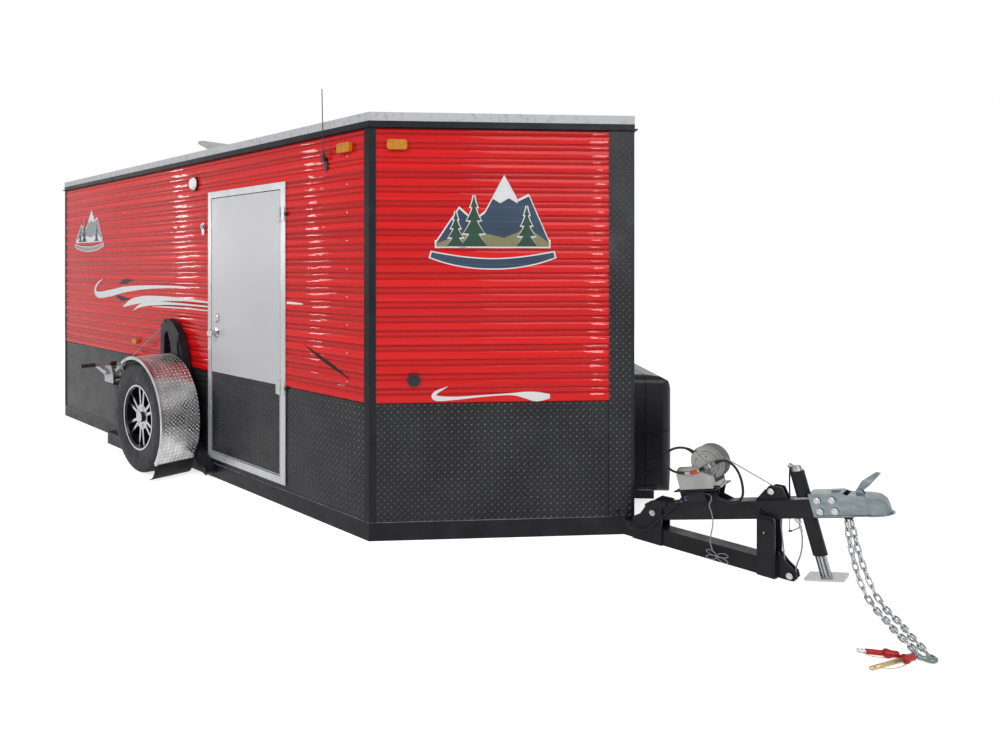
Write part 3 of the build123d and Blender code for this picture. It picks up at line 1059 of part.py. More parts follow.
COUPLER_HALF = 44.0
CUP_RADIUS = COUPLER_TIP - BALL_AT
COUPLER_SIDE = [(COUPLER_REAR, -32), (COUPLER_REAR, 61), (823, 61), (845, 50), (905, 45), (950, 36),
                (972, 20), (COUPLER_TIP, -8), (COUPLER_TIP, -32)]
COUPLER_SHEET, SOCKET_REAR = 4.0, 892.0
LIP_WIDE, LIP_SHEET, LIP_REAR = 8.0, 5.0, 716.0
COUPLER_BOLTS = ((735, 34), (790, 34), (735, -10), (790, -10))
COUPLER_TAB = (802.0, 0.0)
LATCH_PIVOT, LATCH_PIN_RADIUS = (888.0, 60.0), 4.0
with BuildPart() as coupler:
    with BuildSketch(beam_at_y(CUP_RADIUS)):
        Polygon(*COUPLER_SIDE, align=None)
    extrude(amount=2 * CUP_RADIUS)
    with BuildSketch(across_beam(0).offset(-TUBE_HALF)):
        with Locations((COUPLER_REAR, 0)):
            Rectangle(BALL_AT - COUPLER_REAR, 2 * COUPLER_HALF, align=(Align.MIN, Align.CENTER))
        with Locations((BALL_AT, 0)):
            Circle(CUP_RADIUS)
    extrude(amount=2 * TUBE, mode=Mode.INTERSECT)
    with BuildSketch(across_beam(0).offset(COUPLER_SIDE[0][1])):
        with Locations((LIP_REAR, 0)):
            Rectangle(BALL_AT - LIP_REAR, 2 * (COUPLER_HALF + LIP_WIDE), align=(Align.MIN, Align.CENTER))
        with Locations((BALL_AT, 0)):
            Circle(CUP_RADIUS + LIP_WIDE)
    extrude(amount=LIP_SHEET)
    with BuildSketch(across_beam(0).offset(COUPLER_SIDE[1][1])):
        with Locations(COUPLER_TAB):
            Rectangle(30, 24)
    extrude(amount=5)
    with BuildSketch(beam_at_y(COUPLER_HALF + 6)):
        with Locations(*COUPLER_BOLTS):
            RegularPolygon(9, 6)
    extrude(amount=2 * (COUPLER_HALF + 6))
    with BuildSketch(beam_at_y(TUBE_HALF)):
        with Locations((COUPLER_REAR - 1, -TUBE_HALF - 1)):
            Rectangle(BEAM_FRONT - COUPLER_REAR + 1, TUBE_HALF + 57, align=Align.MIN)
    extrude(amount=TUBE, mode=Mode.SUBTRACT)
    with BuildSketch(beam_at_y(TUBE_HALF - COUPLER_SHEET)):
        Polygon((BEAM_FRONT, -TUBE), (BEAM_FRONT, 42), (SOCKET_REAR, 38), (SOCKET_REAR, -TUBE), align=None)
    extrude(amount=TUBE - 2 * COUPLER_SHEET, mode=Mode.SUBTRACT)
    with BuildSketch(across_beam(BALL_AT).offset(-TUBE)):
        Circle(BALL_SOCKET_RADIUS)
    extrude(amount=TUBE - 2, mode=Mode.SUBTRACT)
    with BuildSketch(beam_at_y(0)):
        with BuildLine():
            dome = CenterArc((BALL_AT, -2), BALL_SOCKET_RADIUS, 0, 90)
            Polyline(dome @ 1, (BALL_AT, -2), dome @ 0)
        make_face()
    revolve(axis=Axis(across_beam(BALL_AT).origin, across_beam(BALL_AT).z_dir), mode=Mode.SUBTRACT)
    for inner in (-13, 9):
        with BuildSketch(beam_at_y(inner + 4)):
            Polygon((872, 40), (906, 40), (897, 67), (879, 67), align=None)
        extrude(amount=4)
    with BuildSketch(beam_at_y(15)):
        with Locations(LATCH_PIVOT):
            Circle(LATCH_PIN_RADIUS)
    extrude(amount=30)
coupler.part.label = "coupler"
export_step(coupler.part, "parts/coupler.step")

with BuildPart() as coupler_latch:
    with BuildSketch(beam_at_y(7)):
        Polygon((880, 64), (884, 70), (905, 96), (964, 128), (980, 122), (930, 78), (897, 56), align=None)
        with Locations(LATCH_PIVOT):
            Circle(9)
            Circle(LATCH_PIN_RADIUS + RUNNING_GAP, mode=Mode.SUBTRACT)
    extrude(amount=14)
coupler_latch.part.label = "coupler_latch"
export_step(coupler_latch.part, "parts/coupler_latch.step")

# --- winch rope below the tongue ------------------------------------------------------------------
# It comes down the front of the top sheave, crosses behind the lower one, passes under it and rises slack to
# the anchor under the upper beam.
top_centre = beam_at_y(0).from_local_coords(Vector(*TOP_SHEAVE))
sheave_gap = Vector(LOWER_SHEAVE[0] - top_centre.X, LOWER_SHEAVE[1] - top_centre.Z)
crossing = degrees(acos(2 * ROPE_ROUND_SHEAVE / sheave_gap.length))
forward = sheave_gap.normalized().rotate(Axis.Z, crossing) * ROPE_ROUND_SHEAVE
rope_end = beam_at_y(0).from_local_coords(Vector(ANCHOR_AT, ANCHOR_FOOT - 0.3))
ROPE_RETURN = [(3641.1, 22), (3641.1, 62), (3659, 112), (3666, 166), (3663, 214), (rope_end.X, rope_end.Z)]
with BuildPart() as winch_rope_lower:
    with BuildLine(at_y(0)) as rope_path:
        down = Line((top_centre.X + forward.X, top_centre.Z + forward.Y),
                    (LOWER_SHEAVE[0] - forward.X, LOWER_SHEAVE[1] - forward.Y))
        turned = degrees(atan2(-forward.Y, -forward.X)) % 360
        under = CenterArc(LOWER_SHEAVE, ROPE_ROUND_SHEAVE, turned, 360 - turned)
        FilletPolyline(*ROPE_RETURN, radius=bends(ROPE_RETURN))
    with BuildSketch(Plane(origin=rope_path.line @ 0, z_dir=rope_path.line % 0)):
        Circle(ROPE_RADIUS)
    sweep()
winch_rope_lower.part.label = "winch_rope_lower"
export_step(winch_rope_lower.part, "parts/winch_rope_lower.step")

# --- leads, harness and lanyard -------------------------------------------------------------------
# Each route is a list of points; each bend is as large as its two runs allow.
PLUG_REAR, PLUG_FRONT, PLUG_Y = (3297.0, 431.0), (3345.0, 464.0), -101.0
lead_start = beam_at_y(LEAD_GLAND_Y).from_local_coords(
    Vector(WINCH_DRUM[0] + LEAD_GLAND_REACH * cos(radians(LEAD_GLAND_ANGLE)),
           WINCH_DRUM[1] + LEAD_GLAND_REACH * sin(radians(LEAD_GLAND_ANGLE)))
)
lead_second = beam_at_y(LEAD_GLAND_Y).from_local_coords(
    Vector(WINCH_DRUM[0] + (LEAD_GLAND_REACH + 22) * cos(radians(LEAD_GLAND_ANGLE)),
           WINCH_DRUM[1] + (LEAD_GLAND_REACH + 22) * sin(radians(LEAD_GLAND_ANGLE)))
)
WINCH_LEAD = [
    tuple(lead_start), tuple(lead_second), (3180, -80, 499), (3142, -96, 486), (3114, -103, 456),
    (3112, -103, 416), (3140, -103, 388), (3184, -102, 383), (3224, -101, 390), (3260.7, PLUG_Y, 406),
    (PLUG_REAR[0], PLUG_Y, PLUG_REAR[1]),
]
POWER_LEAD = [
    (PLUG_FRONT[0], PLUG_Y, PLUG_FRONT[1]), (3368, PLUG_Y, 479.8), (3397, -100, 481), (3423, -97, 465),
    (3441, -94, 438), (3452, -92, 405), (3457, -90, 370), (3456, -88, 338), (3441, -86, 312),
    (3415, -85, 299), (3385, -84, 296), (3354, -84, 300), (3331, -77, 308), (3320, -64, 314),
    (3320, -50.2, 314),
]
SWITCH_LANYARD = [
    (3282.9, -55, 300.5), (3301.4, -55, 305.4), (3315, -62, 286), (3300, -66, 256), (3314, -66, 226),
    (3322, -66, 178), (3311, -66, 128), (3305, -66, 84), (3318, -66, 57),
]
TONGUE_HARNESS = [
    (2856, -62, 124), (2871, -75.3, 124), (2890, -82, 96), (2918, -76, 62), (2954, -72, 53),
    (2994, -70, 61), (3030, -69, 88), (3062, -68, 124), (3094, -66, 158), (3130, -60, 198),
    (3159, -55, 236), (3179, -54, 262.4), (3202, -54, 268.6),
]
CORDS = {
    "winch_lead": (5.5, WINCH_LEAD),
    "power_lead": (5.5, POWER_LEAD),
    "switch_lanyard": (2.5, SWITCH_LANYARD),
    "tongue_harness": (4.5, TONGUE_HARNESS),
}
for name, (radius, route) in CORDS.items():
    with BuildPart() as cord:
        with BuildLine() as cord_path:
            FilletPolyline(*route, radius=bends(route))
        with BuildSketch(Plane(origin=cord_path.line @ 0, z_dir=cord_path.line % 0)):
            Circle(radius)
        sweep()
    print(name, "radii", [round(bend) for bend in bends(route)], "length", round(cord_path.wires()[0].length),
          "volume ratio", round(cord.part.volume / (pi * radius**2 * cord_path.wires()[0].length), 3))
    cord.part.label = name
    export_step(cord.part, f"parts/{name}.step")

with BuildPart() as lead_plug:
    plug_run = Vector(*PLUG_FRONT) - Vector(*PLUG_REAR)
    with BuildSketch(Plane(origin=(PLUG_REAR[0], PLUG_Y, PLUG_REAR[1]), z_dir=(plug_run.X, 0, plug_run.Y),
                           x_dir=(0, 1, 0))):
        RectangleRounded(17, 34, 4)
    extrude(amount=plug_run.length)
lead_plug.part.label = "lead_plug"
export_step(lead_plug.part, "parts/lead_plug.step")

# The lanyard's slack is tied in a bow; one flat hull stands for its four loops and the knot.
BOW = [(3318, 57), (3290, 43), (3286, 23), (3300, 13), (3322, 29), (3368, 12), (3390, 23), (3388, 49),
       (3360, 55), (3336, 45)]
with BuildPart() as lanyard_bow:
    with BuildSketch(at_y(-60)):
        Polygon(*BOW, align=None)
    extrude(amount=14)
lanyard_bow.part.label = "lanyard_bow"
export_step(lanyard_bow.part, "parts/lanyard_bow.step")

# --- safety chains and lock pins ------------------------------------------------------------------
# Plain tubes of the links' outer width: each strand hangs from the coupler bolt, then lies on the ground.
CHAIN_RADIUS, CHAIN_FLOOR = 11.0, 11.5
HANGING = (
    [(3830, -12, 304), (3836, -15, 258), (3845, -16, 205), (3857, -17, 148), (3872, -19, 96), (3890, -25, 52),
     (3918, -52, 22), (3960, -112, CHAIN_FLOOR)],
    [(3842, 12, 307), (3850, 13, 260), (3862, 13, 206), (3877, 12, 150), (3896, 9, 98), (3918, 0, 54),
     (3948, -30, 22), (3992, -88, CHAIN_FLOOR)],
)
LYING = (
    [(3962, -115, CHAIN_FLOOR), (3998, -166, CHAIN_FLOOR), (4030, -226, CHAIN_FLOOR),
     (4074, -282, CHAIN_FLOOR), (4112, -344, CHAIN_FLOOR)],
    [(3994, -91, CHAIN_FLOOR), (4036, -146, CHAIN_FLOOR), (4066, -212, CHAIN_FLOOR),
     (4106, -266, CHAIN_FLOOR), (4140, -330, CHAIN_FLOOR)],
)
PIN_LENGTH, PIN_FLOOR = 150.0, 18.0
LOCK_PINS = (((4089, -423), (-0.5, -0.866)), ((4038, -426), (-0.9, -0.436)))
for name, strands, pins in (("safety_chains", HANGING, ()), ("chain_ends_and_pins", LYING, LOCK_PINS)):
    with BuildPart() as chains:
        for strand in strands:
            with BuildLine() as strand_path:
                FilletPolyline(*strand, radius=bends(strand))
            with BuildSketch(Plane(origin=strand_path.line @ 0, z_dir=strand_path.line % 0)):
                Circle(CHAIN_RADIUS)
            sweep()
        for head, way in pins:
            pin_plane = Plane(origin=(head[0], head[1], PIN_FLOOR), z_dir=(way[0], way[1], -0.06))
            with BuildSketch(pin_plane):
                Circle(LOCK_HOLE_RADIUS - 0.3)
            extrude(amount=PIN_LENGTH)
            with BuildSketch(pin_plane.offset(-34)):
                Circle(16)
            extrude(amount=46, taper=6)
    chains.part.label = name
    export_step(chains.part, f"parts/{name}.step")
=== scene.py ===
"""Finishes, cords, chains and fine pieces of an ice fishing hut on a road frame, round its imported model."""

import math

import bmesh
import bpy
import numpy as np
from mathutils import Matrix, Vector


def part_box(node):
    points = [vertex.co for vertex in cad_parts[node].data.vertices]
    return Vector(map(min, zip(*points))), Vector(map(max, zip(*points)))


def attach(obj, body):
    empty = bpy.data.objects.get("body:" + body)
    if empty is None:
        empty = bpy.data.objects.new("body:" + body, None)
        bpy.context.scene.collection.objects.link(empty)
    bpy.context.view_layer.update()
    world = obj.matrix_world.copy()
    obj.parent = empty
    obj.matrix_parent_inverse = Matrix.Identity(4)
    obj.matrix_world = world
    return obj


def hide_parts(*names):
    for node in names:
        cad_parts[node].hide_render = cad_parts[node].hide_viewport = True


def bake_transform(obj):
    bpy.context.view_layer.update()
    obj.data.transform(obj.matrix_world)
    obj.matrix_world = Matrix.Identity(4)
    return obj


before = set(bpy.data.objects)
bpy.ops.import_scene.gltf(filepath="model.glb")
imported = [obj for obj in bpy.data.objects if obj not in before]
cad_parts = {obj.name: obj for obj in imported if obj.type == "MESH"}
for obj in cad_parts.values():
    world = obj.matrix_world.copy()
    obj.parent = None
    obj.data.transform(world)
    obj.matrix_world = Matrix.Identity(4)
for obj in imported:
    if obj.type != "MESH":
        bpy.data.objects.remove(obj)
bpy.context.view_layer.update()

# --- sizes in metres, from the frame --------------------------------------
FRAME_LOW, FRAME_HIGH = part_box("frame")
HALF_WIDTH, REAR_END, NOSE_TIP, RAIL_TOP = FRAME_HIGH.y, FRAME_LOW.x, FRAME_HIGH.x, FRAME_HIGH.z
SHOULDER = -REAR_END
NOSE_ANGLE = math.atan2(HALF_WIDTH, NOSE_TIP - SHOULDER)
CORNERS = np.array([(REAR_END, -HALF_WIDTH), (SHOULDER, -HALF_WIDTH), (NOSE_TIP, 0.0),
                    (SHOULDER, HALF_WIDTH), (REAR_END, HALF_WIDTH)])
RIGHT_SIDE, RIGHT_NOSE, LEFT_NOSE, LEFT_SIDE, REAR = range(5)
SIDING_FOOT, SIDING_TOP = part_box("tread_plate_skirt")[1].z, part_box("drip_trim")[0].z
RIB_COUNT = 19
RIB_PITCH = (SIDING_TOP - SIDING_FOOT) / RIB_COUNT
CROWN_SPAN, BEAD_SPAN, BEAD_SHARE = (0.04, 0.62), (0.70, 0.96), 0.4  # shares of the pitch, and of the crown
SKIRT_FACE = 0.003
TRIM_LEG, CAP_LEG = 0.035, 0.129
TRIM_OUT, CAP_OUT, FLANGE_OUT = 0.0015, 0.002, 0.006
TONGUE_PIN, TONGUE_RISE = np.array([3.030, 0.0, 0.150]), math.radians(15)
BEAM_WAY = np.array([math.cos(TONGUE_RISE), 0.0, math.sin(TONGUE_RISE)])
BEAM_UP = np.array([-math.sin(TONGUE_RISE), 0.0, math.cos(TONGUE_RISE)])
BEAM_HEIGHT = float(TONGUE_PIN @ BEAM_UP)
SIDES = (("right", -1), ("left", 1))

# --- camera ---------------------------------------------------------------
CAMERA_PLACE, CAMERA_TURN = (4.526, -3.242, 1.338), math.radians(44.43)
LENS, SENSOR, SHIFT = 24.84, 36.0, (0.089, -0.1088)
camera_lens = bpy.data.cameras.new("camera")
camera_lens.lens, camera_lens.sensor_width = LENS, SENSOR
camera_lens.shift_x, camera_lens.shift_y = SHIFT
camera = bpy.data.objects.new("camera", camera_lens)
camera.location, camera.rotation_euler = CAMERA_PLACE, (math.pi / 2, 0, CAMERA_TURN)
bpy.context.scene.collection.objects.link(camera)
bpy.context.scene.camera = camera
bpy.context.scene.view_settings.view_transform = "Standard"


# --- meshes from arrays ---------------------------------------------------
def piece(name, points, faces, finish, body, slot=None, smooth=True, merge=False):
    """Object of an array of points and an array of faces with one number of sides, riding on a body."""
    points, faces = np.asarray(points, float).reshape(-1, 3), np.asarray(faces)
    mesh = bpy.data.meshes.new(name)
    mesh.vertices.add(len(points))
    mesh.vertices.foreach_set("co", points.ravel())
    mesh.loops.add(faces.size)
    mesh.loops.foreach_set("vertex_index", faces.ravel())
    mesh.polygons.add(len(faces))
    mesh.polygons.foreach_set("loop_start", np.arange(0, faces.size, faces.shape[1]))
    mesh.update(calc_edges=True)
    if merge:
        joined = bmesh.new()
        joined.from_mesh(mesh)
        bmesh.ops.remove_doubles(joined, verts=joined.verts, dist=1e-6)
        joined.to_mesh(mesh)
        joined.free()
    mesh.polygons.foreach_set("use_smooth", np.full(len(mesh.polygons), smooth))
    mesh.materials.append(finish.material)
    made = bpy.data.objects.new(name, mesh)
    bpy.context.scene.collection.objects.link(made)
    if body:
        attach(made, body)
    return made


def grid_faces(rows, columns, closed_rows=False, closed_columns=False):
    """Four-sided faces between neighbours in rows and columns of points; a closed direction runs round."""
    index = np.arange(rows * columns).reshape(rows, columns)
    if closed_rows:
        index = np.concatenate([index, index[:1]])
    if closed_columns:
        index = np.concatenate([index, index[:, :1]], axis=1)
    return np.stack([index[:-1, :-1], index[:-1, 1:], index[1:, 1:], index[1:, :-1]], axis=-1).reshape(-1, 4)


def copies(shape, faces, places):
    """Points and faces of one small shape at many places, each an origin and three axes as 4 by 3 rows."""
    points = places[:, None, 0] + np.einsum("vk,nkc->nvc", shape, places[:, 1:])
    shifted = faces[None] + np.arange(len(places))[:, None, None] * len(shape)
    return points, shifted.reshape(-1, faces.shape[1])


def wall_run(index):
    """The way from one wall's first corner to its second, in plan."""
    return CORNERS[(index + 1) % 5] - CORNERS[index]


def wall_length(index):
    """Distance between one wall's two corners."""
    return float(np.linalg.norm(wall_run(index)))


def on_wall(index, along, height, out):
    """Points by one wall: how far along from its first corner, how high, how far out from the rib's crown."""
    run = wall_run(index)
    run = run / np.linalg.norm(run)
    along, height, out = np.broadcast_arrays(along, height, out)
    flat = CORNERS[index] + along[..., None] * run + out[..., None] * np.array([run[1], -run[0]])
    return np.concatenate([flat, height[..., None]], axis=-1)


def on_beam(along, up, y):
    """Point by its distance along the upper beam from its pin, its height square to the beam and its Y."""
    along, up, y = np.broadcast_arrays(*(np.asarray(value, float)[..., None] for value in (along, up, y)))
    return TONGUE_PIN + along * BEAM_WAY + up * BEAM_UP + y * np.array([0.0, 1.0, 0.0])


def unit(way):
    """A level direction as a unit vector."""
    return np.array([*way, 0.0]) / np.hypot(*way)


def units(rows):
    """Each row at a length of one."""
    return rows / np.linalg.norm(rows, axis=1, keepdims=True)


def full_turn(count):
    """Angles at even steps round a circle."""
    return np.linspace(0, 2 * np.pi, count, endpoint=False)


def directions(path, level=(0, 1, 0)):
    """Unit tangent, side and rise at each point of a path; the side stays square to one level axis."""
    tangent = units(np.gradient(path, axis=0))
    side = units(np.cross(tangent, level))
    return tangent, side, np.cross(tangent, side)


def tube(path, radius, sides=12, level=(0, 1, 0), closed=False):
    """Round tube: a circle carried along a path, square to it, of one radius or of one for each point."""
    tangent, side, rise = directions(path, level)
    angle = full_turn(sides)[None, :, None]
    ring = side[:, None] * np.cos(angle) + rise[:, None] * np.sin(angle)
    points = path[:, None] + ring * np.broadcast_to(radius, len(path))[:, None, None]
    if not closed:
        ends = np.repeat(path[[0, -1]][:, None], sides, axis=1)
        points = np.concatenate([ends[:1], points, ends[1:]])
    return points, grid_faces(len(points), sides, closed_rows=closed, closed_columns=True)


def turned(profile, foot, axis, sides=24):
    """A profile of radius and distance along an axis, carried round that axis."""
    axis = np.asarray(axis, float) / np.linalg.norm(axis)
    side = np.cross(axis, (0, 0, 1) if abs(axis[2]) < 0.9 else (1, 0, 0))
    side /= np.linalg.norm(side)
    angle = full_turn(sides)[None, :, None]
    radius, reach = np.asarray(profile, float).T[:, :, None, None]
    spoke = side * np.cos(angle) + np.cross(axis, side) * np.sin(angle)
    points = np.asarray(foot) + reach * axis + radius * spoke
    return points, grid_faces(len(profile), sides, closed_columns=True)


def rod(name, path, radius, finish, body, slot, sides=12, level=(0, 1, 0)):
    """Piece of one round tube with closed ends."""
    return piece(name, *tube(path, radius, sides, level), finish, body, slot, merge=True)


def lathe(name, profile, foot, axis, finish, body, slot, sides=24, smooth=True, merge=True):
    """Piece of one turned profile; it is merged where the profile starts and ends on its axis."""
    return piece(name, *turned(profile, foot, axis, sides), finish, body, slot, smooth, merge)


# --- finishes -------------------------------------------------------------
def add_node(tree, kind, inputs, output=0, **settings):
    """Output of a new node; each input takes a number, a colour or another output."""
    node = tree.nodes.new(kind)
    for setting, value in settings.items():
        setattr(node, setting, value)
    for socket, value in inputs.items():
        if isinstance(value, bpy.types.NodeSocket):
            tree.links.new(value, node.inputs[socket])
        else:
            node.inputs[socket].default_value = value
    return node.outputs[output]


class Finish:
    """A procedural material of one Principled shader; patterns read the object's coordinates in metres."""

    def __init__(self, name, colour, roughness, metallic=0.0, **constants):
        self.material = bpy.data.materials.new(name)
        self.material.use_nodes = True
        self.tree = self.material.node_tree
        self.shader = self.tree.nodes["Principled BSDF"]
        constants.update(Base_Color=(*colour, 1.0), Roughness=roughness, Metallic=metallic)
        for socket, value in constants.items():
            self.shader.inputs[socket.replace("_", " ")].default_value = value
        self.colour = (*colour, 1.0)

    def add(self, kind, inputs, output=0, **settings):
        return add_node(self.tree, kind, inputs, output, **settings)

    def place(self, stretch=(1, 1, 1)):
        """The object's own coordinates, stretched."""
        spot = self.tree.nodes.new("ShaderNodeTexCoord").outputs["Object"]
        return self.add("ShaderNodeMapping", {"Vector": spot, "Scale": stretch})

    def part(self, vector, axis):
        """One of a vector's three parts."""
        return self.add("ShaderNodeSeparateXYZ", {0: vector}, output=axis)

    def reach(self, way):
        """How far a point lies along a direction."""
        return self.add("ShaderNodeVectorMath", {0: self.place(), 1: way}, output=1, operation="DOT_PRODUCT")

    def noise(self, scale, detail=3.0, stretch=(1, 1, 1)):
        inputs = {"Vector": self.place(stretch), "Scale": scale, "Detail": detail}
        return self.add("ShaderNodeTexNoise", inputs)

    def spread(self, value, low, high, start=0.3, stop=0.7):
        """The value's range from start to stop laid on low to high."""
        return self.add("ShaderNodeMapRange", {0: value, 1: start, 2: stop, 3: low, 4: high})

    def maths(self, operation, first, second=0.0):
        return self.add("ShaderNodeMath", {0: first, 1: second}, operation=operation)

    def mix(self, share, first, second):
        """One colour turned into another by a share; the mix node's inputs 6 and 7 are its colours."""
        pair = (value if isinstance(value, bpy.types.NodeSocket) else (*value[:3], 1.0)
                for value in (first, second))
        return self.add("ShaderNodeMix", {0: share, **dict(zip((6, 7), pair))}, output=2, data_type="RGBA")

    def feed(self, socket, value):
        self.tree.links.new(value, self.shader.inputs[socket])
        return self

    def beyond(self, way, level):
        """1 where a point lies further than a level along a direction, and 0 elsewhere."""
        return self.maths("GREATER_THAN", self.reach(way), level)

    def inside(self, low, high):
        """1 inside a box and 0 outside it."""
        share = 1.0
        for axis in range(3):
            way = [float(axis == other) for other in range(3)]
            for sign, level in ((1, low[axis]), (-1, -high[axis])):
                share = self.maths("MULTIPLY", share, self.beyond([sign * part for part in way], level))
        return share

    def zone(self, share, colour, other, metallic=None):
        """Another pair of colours, and another metalness, over a part of the surface."""
        socket = self.shader.inputs["Base Color"]
        below = socket.links[0].from_socket if socket.links else self.colour
        patch = self.mix(self.spread(self.noise(60.0), 0.0, 1.0), colour, other)
        self.feed("Base Color", self.mix(share, below, patch))
        if metallic is not None:
            socket = self.shader.inputs["Metallic"]
            start = socket.links[0].from_socket if socket.links else socket.default_value
            blend = self.add("ShaderNodeMix", {0: share, 2: start, 3: metallic}, data_type="FLOAT")
            self.feed("Metallic", blend)
        return self

    def relief(self, height, depth):
        """Fine relief of that depth in metres."""
        bump = self.add("ShaderNodeBump", {"Height": height, "Distance": depth, "Strength": 1.0})
        return self.feed("Normal", bump)

    def mottle(self, other, scale, stretch=(1, 1, 1)):
        """The colour drifts towards another in soft patches."""
        share = self.spread(self.noise(scale, stretch=stretch), 0.0, 1.0)
        return self.feed("Base Color", self.mix(share, self.colour, other))

    def wear(self, low, high, scale, stretch=(1, 1, 1)):
        """The roughness drifts between two values."""
        return self.feed("Roughness", self.spread(self.noise(scale, stretch=stretch), low, high))


def coat(name, colour, other, roughness, metallic=0.0, patches=(9.0,), worn=None, grain=None, **constants):
    """Finish of two colours in soft patches. Where these are given, its roughness drifts, and it has a fine
    grain, which is a depth and then its noise."""
    finish = Finish(name, colour, roughness, metallic, **constants)
    finish.mottle(other, *patches)
    if worn:
        finish.wear(*worn)
    if grain:
        finish.relief(finish.noise(*grain[1:]), grain[0])
    return finish


def inward_depth(finish):
    """How far a point is inside the house's plan: the least distance from a side, rear or nose wall."""
    spot = finish.part(finish.place(), 0).node.outputs
    across = finish.maths("ABSOLUTE", spot[1])
    from_side = finish.maths("SUBTRACT", HALF_WIDTH, across)
    from_rear = finish.maths("SUBTRACT", spot[0], REAR_END)
    run = finish.maths("MULTIPLY", finish.maths("SUBTRACT", NOSE_TIP, spot[0]), math.sin(NOSE_ANGLE))
    from_nose = finish.maths("SUBTRACT", run, finish.maths("MULTIPLY", across, math.cos(NOSE_ANGLE)))
    return finish.maths("MINIMUM", from_side, finish.maths("MINIMUM", from_rear, from_nose))


def rib_swell(finish):
    """Height of the rolled ribs' round backs: half a sine over the crown and a lower one over the bead."""
    up = finish.part(finish.place(), 2)
    ribs = finish.maths("DIVIDE", finish.maths("SUBTRACT", up, SIDING_FOOT), RIB_PITCH)
    share = finish.maths("FRACT", ribs)
    crown, bead = (finish.maths("SINE", finish.spread(share, 0.0, math.pi, *span))
                   for span in (CROWN_SPAN, BEAD_SPAN))
    return finish.maths("ADD", crown, finish.maths("MULTIPLY", bead, BEAD_SHARE))


def red_siding_paint():
    """Gloss red on the rolled siding, drawn out along it, with painted shade in the grooves between its ribs,
    and pale panelling on the wall's inner face.
    """
    finish = Finish("red_siding_paint", (0.80, 0.010, 0.011), 0.26, Specular_IOR_Level=0.05, Coat_Weight=0.3,
                    Coat_Roughness=0.035)
    streaks = finish.spread(finish.noise(1.0, 4.0, (0.5, 0.5, 30.0)), 0.0, 1.0, 0.35, 0.65)
    red = finish.mix(streaks, finish.colour, (0.60, 0.006, 0.008))
    clouds = finish.spread(finish.noise(0.8, 3.0, (1.0, 1.0, 2.0)), 0.0, 0.5, 0.5, 0.75)
    red = finish.mix(clouds, red, (0.72, 0.026, 0.030))
    swell = rib_swell(finish)
    # Painted shade: the red darkens towards the grooves between the ribs' round backs, where shade falls.
    red = finish.mix(finish.spread(swell, 0.55, 0.0, 0.0, 0.5), red, (0.25, 0.003, 0.004))
    inside = finish.maths("GREATER_THAN", inward_depth(finish), OUTER_SKIN)
    boards = finish.spread(finish.noise(3.0, 5.0, (1, 1, 12)), 0, 1)
    boards = finish.mix(boards, (0.52, 0.43, 0.31), (0.60, 0.52, 0.40))
    finish.feed("Base Color", finish.mix(inside, red, boards))
    finish.wear(0.2, 0.34, 2.0, (1, 1, 8))
    waves = finish.maths("MULTIPLY", finish.noise(1.0, 2.0, (5.0, 5.0, 12.0)), 0.6)
    ribs = finish.maths("MULTIPLY", swell, finish.maths("SUBTRACT", 1.0, inside))
    finish.relief(finish.maths("ADD", ribs, waves), 0.0034)
    return finish.feed("Coat Normal", finish.shader.inputs["Normal"].links[0].from_socket)


def black_tread_plate(name="black_tread_plate", colour=(0.010, 0.010, 0.012), other=(0.022, 0.023, 0.026),
                      gloss=0.2):
    return coat(name, colour, other, 0.3, patches=(5.0,), worn=(0.2, 0.36, 7.0), grain=(0.0003, 160.0, 2.0),
                Specular_IOR_Level=gloss)


def black_frame_paint(name="black_frame_paint"):
    return coat(name, (0.008, 0.0085, 0.011), (0.018, 0.018, 0.022), 0.34, worn=(0.26, 0.46, 14.0),
                grain=(0.0004, 420.0, 2.0), Specular_IOR_Level=0.16)


def hinge_and_base_paint():
    """The frame's black, with the tongue's hinge bolts bare zinc."""
    finish = black_frame_paint("tongue_base_paint")
    near, far = (finish.beyond((0, side, 0), HINGE_PLATE_OUT) for side in (1, -1))
    return finish.zone(finish.maths("MAXIMUM", near, far), *BARE_ZINC)


def cradle_paint():
    """The frame's black, with the lower sheave bare zinc."""
    finish = black_frame_paint("tongue_cradle_paint")
    return finish.zone(finish.inside(*LOWER_SHEAVE_BOX), *BARE_ZINC)


def jack_paint():
    """Black tube; its head, its crank socket and its flange on the beam are zinc."""
    finish = black_frame_paint("jack_paint")
    head = finish.beyond(BEAM_UP, BEAM_HEIGHT + JACK_HEAD)
    low, high = JACK_FLANGE
    below_top = finish.beyond(-BEAM_UP, -BEAM_HEIGHT - high)
    flange = finish.maths("MULTIPLY", finish.beyond(BEAM_UP, BEAM_HEIGHT + low), below_top)
    return finish.zone(finish.maths("MAXIMUM", head, flange), (0.20, 0.205, 0.21), (0.36, 0.37, 0.38), 0.8)


def winch_mount_paint():
    """The frame's black; the switch box on its near side is a duller moulded black."""
    finish = black_frame_paint("winch_mount_paint")
    return finish.zone(finish.inside(*SWITCH_BOX), (0.016, 0.017, 0.019), (0.026, 0.027, 0.029))


def zinc_plate(name="zinc_plate", colour=(0.25, 0.255, 0.26), other=(0.42, 0.43, 0.44), scale=130.0):
    """Zinc whose spangle is the cells of a Voronoi pattern, each with its own shade."""
    finish = Finish(name, colour, 0.36, 0.85)
    cells = finish.add("ShaderNodeTexVoronoi", {"Vector": finish.place(), "Scale": scale}, output="Color")
    spangle = finish.add("ShaderNodeSeparateColor", {0: cells})
    finish.feed("Base Color", finish.mix(spangle, finish.colour, other))
    finish.wear(0.24, 0.42, 40.0)
    return finish.relief(finish.noise(300.0, 2.0), 0.0002)


